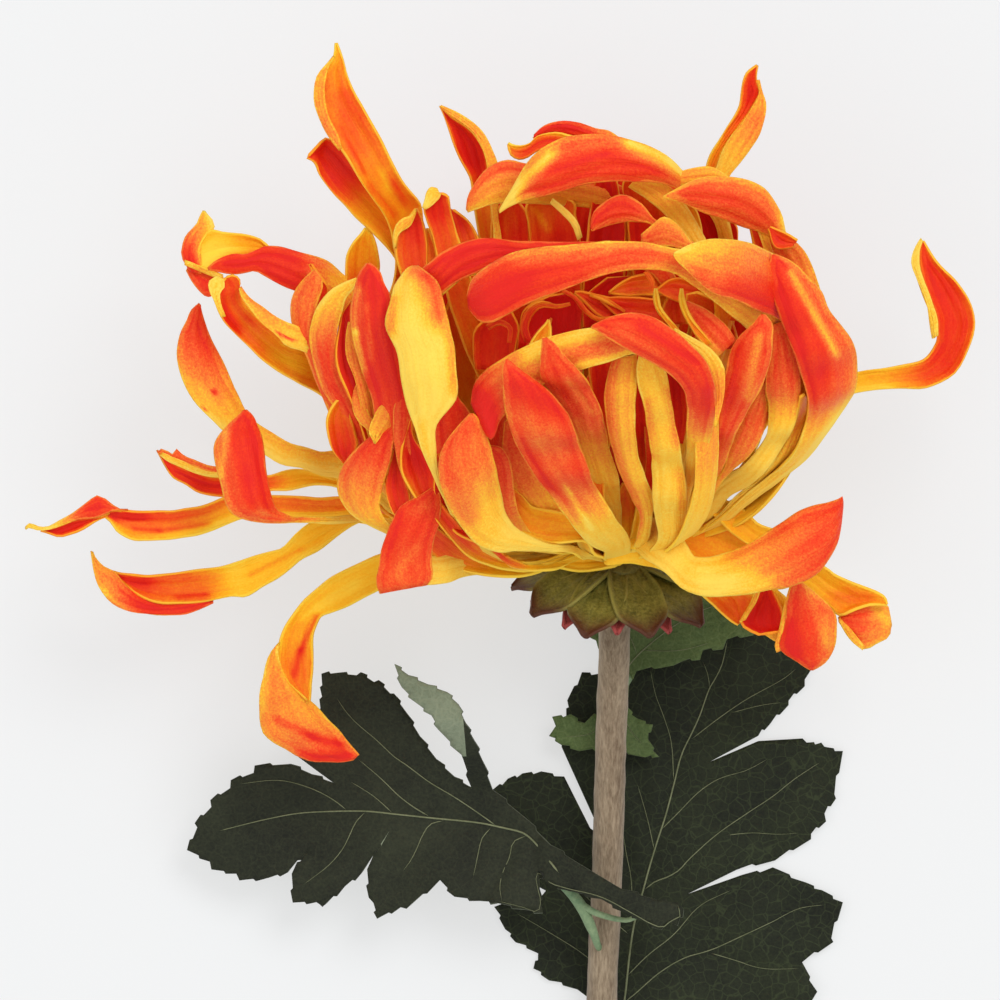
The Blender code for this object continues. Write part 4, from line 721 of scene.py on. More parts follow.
frontBall = (
    strip("out", 0.05, 0.66, (50, 60, 66, 70, 74, 78, 81, 82, 83, 83), (14, 31, 13.5, 32.5), (7, 31.8, 8.5, 33.2),
          (2.5, 31.8, 4.5, 34.8), (-1, 31.6, 1.8, 36.8), (-4.5, 33, 0.4, 39.5), (-7.5, 36.3, -0.3, 43),
          (-10, 40.2, -0.9, 46), (-11.5, 44.5, -1.6, 49.3), (-11.6, 49, -2.5, 52.3), (-10.3, 52.4, -3.4, 55),
          (-7.8, 55.5, -4.4, 56.6), (-5.8, 57.6, -5.4, 57.6), start=0.35, full=0.95, right=-0.1,
          strokes=((-6, 38, -9, 46, 1.5, 0.12), (-3, 37, -4, 44, 1.2, -0.1))),
    strip("in", 0.2, 0.65, (56, 60), (15.5, 33.5, 13.5, 38), (9, 33.2, 9.5, 39.3), (5, 34.6, 6, 40), (2, 36.7, 4, 42),
          (0.2, 40, 1.5, 44.2), (-0.5, 43.5, -0.6, 46.3), start=0.5, full=0.9),
    strip("out", 0.8, 0.84, (73, 77), (-5, 50, 0, 51), (-11.9, 48.5, -3, 52), (-12.6, 51.9, -4.5, 55),
          (-12.9, 55.4, -6.5, 58.5), (-12.6, 58.8, -8, 60.5), (-11.5, 62.3, -9.1, 62.3), (-10.8, 64.1, -10.6, 64.1)),
    strip("out", 0.15, 0.74, (50, 64, 80, 93, 95), (20.8, 39, 22.5, 40), (19.2, 41.7, 22.3, 42.8),
          (16.5, 46.5, 22, 46.2), (15.3, 50.3, 20.6, 50.5), (13.8, 54.5, 19.6, 55), (12, 58.2, 18.6, 58.7),
          (9.4, 61.7, 17.1, 62), (7.3, 65.3, 14.9, 65.4), (7.4, 68.3, 12, 68.3), (7.6, 70.3, 10.3, 70.4),
          (7.7, 71.9, 8.3, 71.9), start=0.2, full=0.65, strokes=((17, 58, 12.5, 64, 0.7, -0.2),
          (16.5, 52, 13, 60, 0.6, -0.15), (10, 66, 14, 58, 0.6, 0.14))),
    strip("out", 0.08, 0.76, (50, 64, 78, 88, 92, 92), (19.5, 31.6, 24, 34.5), (17, 32.8, 22.8, 36.3),
          (13.3, 36.8, 20.8, 39.1), (9.8, 41.6, 18.3, 43), (6.2, 46.3, 16.5, 46.7), (3.8, 50.2, 15.2, 50.5),
          (2, 54, 13.8, 54.2), (0.9, 57.6, 12.2, 57.8), (0.5, 61.5, 9.2, 61.4), (0.2, 64.5, 5.3, 64.5),
          (0.4, 66.6, 2.6, 66.4), (0.8, 67.8, 1.1, 67.7), start=0.12, full=0.55, bulge=1.2,
          strokes=((2, 57, 8.5, 54, 2.4, -0.14), (5, 52, 12, 50, 1.5, -0.08), (8, 45, 15, 40, 1.5, 0.2),
          (12, 44, 17, 36, 0.5, -0.35), (4, 53, 9, 44, 0.6, 0.16), (3, 63, 10, 58.5, 2.2, 0.2),
          (7, 52, 13, 43, 0.7, -0.14))),
    strip("out", 0.2, 0.25, (54, 68, 77, 83, 84), (26.3, 38, 28.5, 38), (24.6, 42, 28.6, 42),
          (22.5, 46.5, 26.9, 46.5), (21.2, 50.5, 25.6, 50.5), (20.2, 54.5, 25.2, 54.5), (19.6, 58.5, 25.1, 58.5),
          (19.7, 62.5, 25.3, 62.5), (20.4, 65.8, 25.4, 65.8), (21.3, 68, 25.3, 68.6), left=0.35, bulge=1.5),
    strip("out", 0.1, 0.15, (54, 66, 77, 84, 86), (29.8, 34.3, 34.2, 34.3), (29.2, 38, 34.8, 39), (28.7, 42, 35, 43),
          (28.6, 47, 34.3, 47.5), (28.2, 51.5, 33.6, 51.5), (27.6, 55.5, 32.7, 55.5), (26.9, 59.5, 31.9, 59.5),
          (25.8, 63.5, 31.3, 63.5), (25.6, 66.5, 30.3, 66.3), (26, 68.5, 28, 68.5), bulge=1.5,
          strokes=((28.3, 50, 27.6, 60, 0.8, 0.3), (33.2, 52, 31.8, 62, 0.9, 0.35), (34, 40, 33.5, 47, 0.8, 0.15))),
    strip("in", 0.1, 0.85, (46, 56, 68, 74), (24.6, 35, 27.2, 35), (25.4, 39, 28.6, 39), (25.6, 44, 28.8, 44),
          (25.4, 50, 28.6, 50), (25, 57, 28, 57), (25, 63, 27.6, 63), (25.2, 68, 27.6, 68), (25.8, 71, 26.8, 71),
          root="plain", start=0.2, full=0.6),
    flap("in", 0.1, 0.4, (44, 48), (20.5, 32, 25.5, 32), (20, 36, 26, 36), (20.5, 40, 25.6, 40),
         (23, 44.5, 24, 44.5)),
    flap("out", 0.25, 0.7, (54, 60, 66), (12, 36, 14, 39), (6, 39.5, 11, 45), (2.2, 44, 9.5, 50), (0.4, 49.5, 8, 55),
         (0.5, 56, 5, 59.5), start=0.2, full=0.8),
    flap("in", 0.7, 0.9, (66, 74), (31.5, 52, 34.5, 52), (31.3, 57, 35.3, 57), (31, 62, 35, 62),
         (30.5, 66.5, 34, 66.5), (30.5, 70, 32, 70), inner=0.1),
    strip("in", 0.45, 0.8, (60, 74), (17, 44, 19.5, 44), (15.8, 50, 20, 50), (16.5, 56, 21.5, 56), (17, 62, 21, 62),
          (16.5, 67, 21, 67), (17, 71, 20, 71)),
    strip("out", 0.1, 0.82, (64, 70), (-10, 34, -8, 36), (-20, 34.5, -17, 36.5), (-25, 36.7, -21, 36.7),
          (-28.8, 39.2, -23, 39.6), (-30.8, 43, -22.7, 43), (-30.6, 46, -21.9, 46), (-29, 49, -21.2, 49),
          (-26.6, 51.6, -20.6, 51.5), (-23.5, 54, -20, 53.6), (-20, 55.5, -19.4, 55.4), start=0.3, full=0.9,
          ball=0.3),
    strip("in", 0.7, 0.82, 68, (-18, 36, -14, 38), (-21, 39.5, -17, 41), (-22, 43, -17.5, 43), (-21.3, 47, -18.8, 47),
          (-20.2, 52, -19.3, 52)),
    strip("in", 0.7, 0.95, (70, 72), (-13, 38, -10, 39), (-16.4, 41.8, -12.5, 42.5), (-18.6, 46, -12.5, 46),
          (-19, 50, -14.5, 50), (-18.4, 53.4, -16.6, 53), (-17.3, 56.6, -17, 56.6), left=-0.2),
    strip("in", 0.8, 0.9, (66, 74), (-4, 33, -3, 34), (-8.5, 35, -7.5, 37.5), (-11.5, 39, -10.5, 41),
          (-12.8, 43, -11.2, 44.5), (-12.6, 47, -11, 47), (-12.3, 50, -11.8, 50), inner=0.1),
)
leftBall = (
    strip("out", 0.75, 0.6, (60, 62), (-35, 64, -33, 64), (-37, 69, -35, 69), (-38.7, 72.5, -35.5, 72.8),
          (-39.7, 76, -35.2, 76.8), (-39.6, 79.3, -34.5, 79.6), (-38.2, 82, -33.8, 82.2), (-36.5, 83.9, -34.3, 83.8),
          (-35.4, 84.9, -35.2, 84.9), start=0.1, ball=0.3),
    strip("in", 0.8, 0.85, 58, (-35.5, 79, -33, 79), (-35.8, 82, -33, 81.8), (-35.9, 84.6, -34, 83.2),
          (-36.4, 86, -36.1, 85.9)),
    strip("in", 0.5, 0.22, (48, 51), (-29.5, 78, -24, 78), (-29.5, 82, -24, 82), (-29.5, 85.5, -23.2, 85.5),
          (-29.2, 88, -23.5, 88.5), (-28, 90.3, -24.2, 90.8), (-26.5, 92, -25, 92.3), (-25.9, 92.9, -25.6, 92.9),
          start=0.2, full=0.7),
    strip("out", 0.78, 0.2, (62, 68), (-31.5, 59, -28.5, 60.5), (-33.8, 62.5, -29.8, 63.2), (-35.1, 66.3, -31, 65.7),
          (-36, 70, -31.5, 69.5), (-35.9, 74.3, -30.9, 73.8), (-34.6, 78, -30, 77.2), (-32, 81, -29.3, 79.5),
          (-29.5, 82.4, -28, 81.2), (-27.4, 83.2, -27.2, 82.8), start=0.3, full=0.8, left=-0.15, ball=0.3),
    strip("in", 0.85, 0.92, 66, (-29, 61.5, -26, 63), (-31, 66, -26.5, 66), (-31.2, 70, -27.4, 70),
          (-30.6, 74.5, -28, 74.5), (-30, 77, -28.4, 77.5), (-28.6, 79, -28.3, 79), right=-0.2, inner=0.1),
    strip("out", 0.5, 0.4, 68, (-28, 64.5, -26.2, 66), (-29.3, 68.5, -26.9, 69), (-29.4, 72, -27.8, 72),
          (-28.9, 75, -28.3, 75)),
    strip("out", 0.75, 0.95, (70, 76, 76), (-23.5, 55, -17.5, 56), (-24.5, 61.2, -18, 61.5), (-26.2, 66, -18.8, 66.5),
          (-27.8, 71, -19.8, 71.5), (-28.4, 75.8, -20.5, 75.8), (-28.1, 79, -20.7, 79.3), (-27.3, 82.5, -22.2, 82.2),
          (-26.4, 84.7, -23.3, 84.8), (-25.4, 86, -24.9, 86), start=0, full=0.3, ball=0.35,
          strokes=((-26, 66, -27.4, 73, 0.9, -0.5), (-27.4, 73, -26.8, 81, 0.9, -0.45),
          (-24.5, 68, -25.3, 78, 0.6, -0.2))),
    strip("out", 0.02, 0.12, (76, 80, 84, 86, 86, 84, 80, 76), (-12.4, 45, -11.8, 45.8), (-14.8, 50.5, -12.4, 50.5),
          (-16.4, 55.5, -12.4, 55.5), (-18, 60.4, -8.6, 60.6), (-18.9, 65, -8.4, 65), (-19.6, 69.5, -8.9, 69.2),
          (-21.9, 74.3, -9.9, 74.3), (-20.9, 78.4, -11.1, 79), (-19.9, 82, -12.2, 82.5), (-18, 84.6, -14.5, 84.4),
          (-16.9, 85.3, -15.8, 85.3), start=0.6, full=1, ball=0.4, strokes=((-13, 83.5, -11.5, 76, 2.4, 0.55),
          (-9.8, 73, -9, 62, 0.8, 0.35), (-21, 73, -20.5, 79, 1, 0.35), (-16, 84.5, -14, 84, 1.8, 0.35),
          (-15, 56, -14, 48, 1, 0.08))),
    strip("in", 0.78, 0.5, (60, 62), (-29.9, 48.1, -29, 48.6), (-31.6, 50, -27.5, 51.2), (-33, 54.5, -27.9, 54.5),
          (-32.8, 57.5, -28.7, 58), (-31.3, 60, -28.5, 60.5), (-28.5, 62.4, -28, 62.3), start=0, full=0.7),
    strip("out", 0.4, 0.55, 66, (-24.5, 54, -23.6, 55), (-27, 56.3, -25, 57), (-28.2, 59.5, -25.9, 60),
          (-27.9, 62, -26.2, 62.5), (-26.5, 64.7, -26.2, 64.7)),
    strip("in", 0.9, 0.95, 64, (-24.6, 54, -23.8, 54), (-25.4, 58, -24, 58), (-26.3, 62, -24.4, 62),
          (-26.4, 65.4, -25.6, 65.4), inner=0.1),
    flap("out", 0.25, 0.35, 70, (-24, 52, -23.8, 52), (-25, 54, -22, 54.4), (-24.3, 56.5, -20, 56),
         (-22.7, 59.1, -19.9, 58.3), (-20.6, 60.1, -20.2, 60), right=0.15),
    strip("out", 0.7, 0.8, 72, (-20.2, 52, -17, 53), (-20.4, 56, -16.8, 56.5), (-20, 59.5, -17.2, 60),
          (-18.8, 61.5, -18.4, 61.4)),
    strip("in", 0.7, 0.9, (66, 74), (-17.5, 60, -9, 60), (-19, 66, -9, 66), (-20, 72, -10, 72), (-20.5, 78, -11, 78),
          (-19, 82, -13, 82)),
)
leftStreamers = (
    strip("in", 0.12, 0.45, (38, 40, 44, 45, 45, 44), (-24, 36.5, -24, 41), (-28, 38.1, -29, 41.8),
          (-35, 37.7, -35, 41.6), (-40, 37.9, -40, 42), (-46, 37.6, -46, 42.2), (-49.1, 37.8, -50, 42.2),
          (-52.3, 36.7, -52.6, 41.8), (-55.5, 35.4, -55.5, 40.5), (-57.8, 34.7, -57.8, 39.9), (-60, 34.4, -60, 39.6),
          (-62.9, 33.9, -62.9, 39.1), (-65.1, 33.7, -65.1, 39.1), (-67.7, 33.7, -67.7, 39.1),
          (-69.9, 33.8, -70.3, 39.2), (-71.5, 34.5, -71.9, 39.4), (-73.1, 35.5, -73, 39.5),
          (-74.3, 37.2, -74.2, 39.3), (-75.5, 38.1, -75.5, 38.9), start=0.4, full=0.9, right=0.3, left=-0.25,
          strokes=((-74, 38.2, -68, 38.6, 0.9, 0.45), (-70, 35.9, -65, 35.4, 0.5, 0.25),
          (-65, 35.4, -56, 36.6, 0.5, 0.2), (-45, 40, -30, 39.8, 1.2, 0.25))),
    flap("out", 0.9, 0.2, 45.6, (-71, 39.1, -71, 39.6), (-73.3, 39.2, -73.3, 39.9), (-74.7, 38.9, -74.7, 41),
         (-76, 38.4, -76.5, 42), (-77.9, 38, -77.8, 41.4), (-79.9, 37.8, -79.6, 40), (-81.8, 37.3, -82, 38.2),
         (-84, 36.5, -84, 37.1), (-86, 35.8, -86, 36.1), (-87.4, 35.6, -87.4, 36), (-88.8, 35.8, -88.6, 36.3),
         (-89.7, 36.2, -89.5, 36.8), (-90.5, 35.8, -90.3, 36.1), start=0.4, full=0.7),
    flap("in", 0.5, 0.98, 44.6, (-74.9, 38, -74.5, 39), (-76, 37.7, -76, 38.4), (-77.6, 37.1, -77.9, 38),
         (-78.9, 36.3, -79.9, 37.8), (-80.2, 35.5, -81.2, 37.5), (-81.5, 35.1, -82.3, 37.2),
         (-83.4, 34.5, -83.8, 36.5), (-84.7, 34.5, -85, 36.1), (-86.3, 35.1, -86.2, 35.9), (-87.6, 35.4, -87.4, 35.7),
         start=0, full=0.5),
    strip("in", 0.06, 0.5, (34, 36, 36, 35, 35, 34), (-22, 37, -23, 40), (-26.6, 37.3, -29, 39.5),
          (-30, 35.5, -33, 38.2), (-34.9, 31.8, -37.5, 36.3), (-37.4, 30.4, -39.3, 34.8), (-40, 28.4, -42, 32.1),
          (-42.2, 26.7, -44, 31.5), (-45, 25.1, -47, 30.6), (-48.8, 22.9, -50, 29.6), (-51.3, 23, -52.6, 28.8),
          (-54.2, 22.4, -55, 28.3), (-56.2, 22, -57.8, 28), (-58.7, 21.7, -60, 27.7), (-61.9, 21.6, -62.5, 27.3),
          (-64.2, 21.6, -65.1, 27.1), (-66.4, 22.1, -67.5, 26.9), (-68.7, 23, -69.5, 27), (-70.9, 24.5, -71.5, 27.2),
          (-72.5, 26, -72.8, 27.4), (-73.8, 27.5, -74, 27.7), start=0.55, full=0.75,
          strokes=((-74, 27, -68, 26, 1.8, 0.4), (-62, 22.6, -56, 23.2, 0.5, 0.25), (-48, 27, -38, 32, 0.5, 0.15))),
    flap("out", 1, 0.4, (34.1, 34.3, 35.3, 35.6, 35.6), (-54.9, 21.6, -54.9, 22.8), (-56.5, 20.9, -56.4, 22.6),
         (-58.7, 20.1, -58.7, 22.4), (-60.6, 19.5, -61.5, 22), (-63.5, 19.4, -64, 21.8), (-66.4, 19.4, -66.4, 22),
         (-68.3, 19.7, -68.7, 22.7), (-70.9, 20.3, -70.9, 24.2), (-73.1, 21.1, -72.4, 25.8),
         (-74.7, 22.2, -73.4, 27.2), (-76.2, 24.2, -74.3, 27.9), (-77, 25.8, -75.5, 28.4), (-77.6, 28, -76.4, 29.2),
         (-77.9, 29.9, -77.4, 30.4), (-78.1, 31.6, -77.9, 31.4), start=0.4, full=0.85,
         strokes=((-71, 20.5, -76, 24.5, 1, -0.2),)),
    strip("out", 0.1, 0.9, (44, 54, 60, 63, 63, 62, 60, 59), (-20, 35.5, -20, 37.5), (-27, 36.9, -27, 38.4),
          (-33, 37, -33, 38), (-38, 37.2, -38, 37.9), (-42, 37.1, -40.5, 38.3), (-45.5, 37.2, -42.3, 39.3),
          (-48.8, 37.9, -43.4, 40.9), (-51, 38.9, -44, 43), (-52.2, 41.1, -44.5, 45.5), (-52.9, 43.6, -44.8, 47.6),
          (-53.6, 46.3, -45, 50), (-54.3, 49.2, -45.2, 52), (-54.3, 51.6, -45.7, 53.8), (-53.2, 53.7, -46.4, 55.2),
          (-51.7, 55.4, -46.9, 56.6), (-50.1, 56.9, -47.6, 57.6), (-48.8, 58.2, -48.4, 58.3), start=0.25, full=0.52,
          left=-0.28, bulge=1.2, strokes=((-52, 54, -53, 46, 0.7, -0.35), (-46, 39, -40, 38, 1, -0.3),
          (-47.5, 45, -47, 52, 1.5, 0.08))),
    strip("in", 0.1, 0.84, (38, 42, 43), (-24, 40, -25, 44), (-28, 42, -29, 45.5), (-31.3, 43.9, -31.5, 45.4),
          (-34.3, 44.3, -34.3, 46.3), (-37.4, 43.9, -38.6, 47.2), (-40.5, 43.2, -41.3, 46.8),
          (-44, 43.2, -44.3, 45.9), (-48, 42.4, -48, 46), (-52.8, 42, -53, 45.6), (-55.5, 42.3, -55.5, 45.7),
          (-57.8, 42.9, -57.8, 46.4), (-60, 44.4, -60, 47.3), (-62.4, 45.6, -62, 48.2), (-64.2, 48.2, -63.8, 49.3),
          (-65.5, 50.8, -65.3, 50.6), start=0.35, full=0.55),
    flap("out", 0.12, 0.15, 43.6, (-52, 45.7, -52, 46.6), (-55.5, 45.7, -55.5, 47), (-57.8, 46.3, -57.8, 47.7),
         (-60, 47.2, -60, 48.5), (-63.2, 48.6, -61.9, 49.1), (-64.8, 49.9, -64.5, 50.2)),
    flap("out", 0.75, 0.7, 43, (-52, 46.4, -52, 47.3), (-55.5, 46.8, -55.5, 47.7), (-58.4, 47.8, -58.7, 49),
         (-60.3, 48.6, -60.6, 49.8), (-61.6, 49, -61.8, 50.9), (-62.4, 49.3, -62.3, 50), (-63.8, 49.9, -63.6, 50.5),
         (-65.3, 50.5, -64.8, 50.9)),
    strip("out", 0.1, 0.85, (42, 46, 50, 52, 52), (-27, 43, -27, 49), (-31, 45.5, -32, 50.6),
          (-34.3, 46.1, -34.6, 50.4), (-38, 47.4, -37.5, 51.2), (-41.5, 48, -40.5, 52.2), (-45, 50, -44.3, 54.4),
          (-49, 52.2, -47, 56.2), (-52.5, 54.3, -48.8, 58.5), (-54.3, 56.1, -50.1, 61.1), (-56.3, 58, -51.1, 63),
          (-58.4, 60.3, -52, 65), (-59.9, 63, -52.9, 67.4), (-60.9, 65.7, -53.9, 69.4), (-61.5, 68.8, -55, 71.4),
          (-61.3, 71.1, -55.8, 73.2), (-60.7, 73.4, -56.4, 74.8), (-59.7, 75.3, -56.8, 76.2),
          (-58.8, 77.3, -57.1, 77.6), (-57.3, 78.6, -57.2, 78.4), start=0.5, full=1, right=0.15, left=-0.15,
          bulge=0.8, strokes=((-53, 58, -57, 70, 2, 0.12), (-54.6, 62, -54.1, 61.6, 0.4, 0.9),
          (-56.4, 58.8, -56.2, 58.7, 0.25, 0.6))),
    strip("out", 0.3, 0.95, (48, 54, 56, 56), (-26, 76, -27, 82), (-29, 77, -30, 83.8), (-32, 78, -33, 86.5),
          (-35.5, 79.5, -36, 87.7), (-38.7, 80.9, -39.5, 88.5), (-42, 82.2, -42.5, 89.3), (-45.1, 83.8, -45.1, 89.2),
          (-46.8, 84.7, -46.8, 88.5), (-48.8, 84.4, -48.8, 87.9), (-50.5, 84.2, -50.6, 88),
          (-52.8, 84.5, -52.6, 87.4), (-54.3, 84.8, -54.4, 86.4), (-55.6, 85, -55.7, 85.2), start=0.12, full=0.5,
          strokes=((-31, 82, -36, 86, 2, -0.15),)),
    flap("in", 0.2, 0, (52, 55, 55), (-42.5, 87.2, -43.6, 88.6), (-45, 87.7, -45.6, 90.6), (-47.5, 87, -48, 91.5),
         (-50.5, 86.5, -50.9, 91.85), (-53, 85.6, -53.5, 92.2), (-54.8, 84.6, -54.9, 92.6), (-56.2, 84.6, -56, 92),
         (-57.6, 85.6, -57.2, 90), (-58.4, 87, -58.4, 88), inner=0, right=0.12),
    flap("out", 0.82, 0.8, 54, (-54, 80.5, -53, 83.8), (-55.9, 80, -55.2, 84), (-57.4, 81.3, -56.8, 84.6),
         (-58.8, 83.2, -58.3, 85.2), (-59.7, 84.9, -59.7, 85.3)),
    flap("out", 0.3, 0.3, 55.6, (-52.8, 83.2, -52.8, 83.9), (-55.7, 84.3, -55.7, 85.1), (-58, 85.2, -58, 86),
         (-60.1, 86, -60.1, 86.7)),
    flap("out", 0.9, 0.25, 55, (-58.8, 84.6, -57, 84.2), (-59.9, 86, -56.9, 86), (-60.6, 87.8, -57.3, 88),
         (-60.1, 90.3, -56.9, 89.6), (-59, 92.2, -55.4, 92), (-57.8, 93.4, -54.6, 92.8), (-57.3, 94.6, -55, 94.4),
         (-56.9, 95.5, -55.9, 95.4), (-56.5, 96.2, -56.4, 96.1), start=0.2, full=0.8, left=0.2, right=-0.3),
    strip("in", 0.16, 0.6, (46, 52, 56, 59, 61, 61), (-30, 58, -28, 70), (-35.1, 61.8, -35.5, 70),
          (-39, 63.8, -38.5, 70.9), (-41.3, 65.1, -41.3, 71.5), (-44.7, 67.4, -43.2, 73.4), (-47, 69.5, -45.1, 74.9),
          (-49.7, 72.2, -46.7, 76.5), (-51.7, 74.2, -48.2, 78.1), (-52.8, 75.7, -49.3, 79.6),
          (-53.8, 77.6, -49.7, 80.9), (-54.1, 79.2, -49.5, 82), (-54.2, 80.6, -49.9, 83.4), (-53.4, 81.9, -51, 83.9),
          (-52.4, 83.2, -52, 83.6), start=0.3, full=0.95, left=0.1, strokes=((-53.6, 78, -50, 73, 0.9, 0.3),
          (-45, 69, -38, 66, 1, -0.1), (-48, 76, -42, 72.5, 0.8, 0.15))),
    flap("out", 0.15, 0.3, (60, 61.5), (-36, 69, -35.5, 72), (-38.5, 69.9, -38.3, 74), (-40.7, 70.5, -39.9, 74.6),
         (-42.6, 72.5, -42, 75.6), (-44.5, 74.1, -43.6, 76.5), (-46.2, 75.9, -45.1, 77.6), (-47.9, 78, -46.9, 78.8),
         (-49.3, 80, -48.4, 80.3), (-49.6, 81.4, -49.4, 81.7), right=0.2,
         strokes=((-42, 72.8, -39.8, 71.6, 0.22, 0.8),)),
    flap("out", 0.35, 0.1, 61.8, (-53, 76, -52.4, 76), (-54.2, 78.6, -53.2, 78.6), (-55.1, 80.6, -53.3, 80.8),
         (-55.4, 82, -52.6, 81.6), (-55.1, 82.9, -52.6, 82.4), (-53.6, 83.6, -52.8, 83.2)),
)
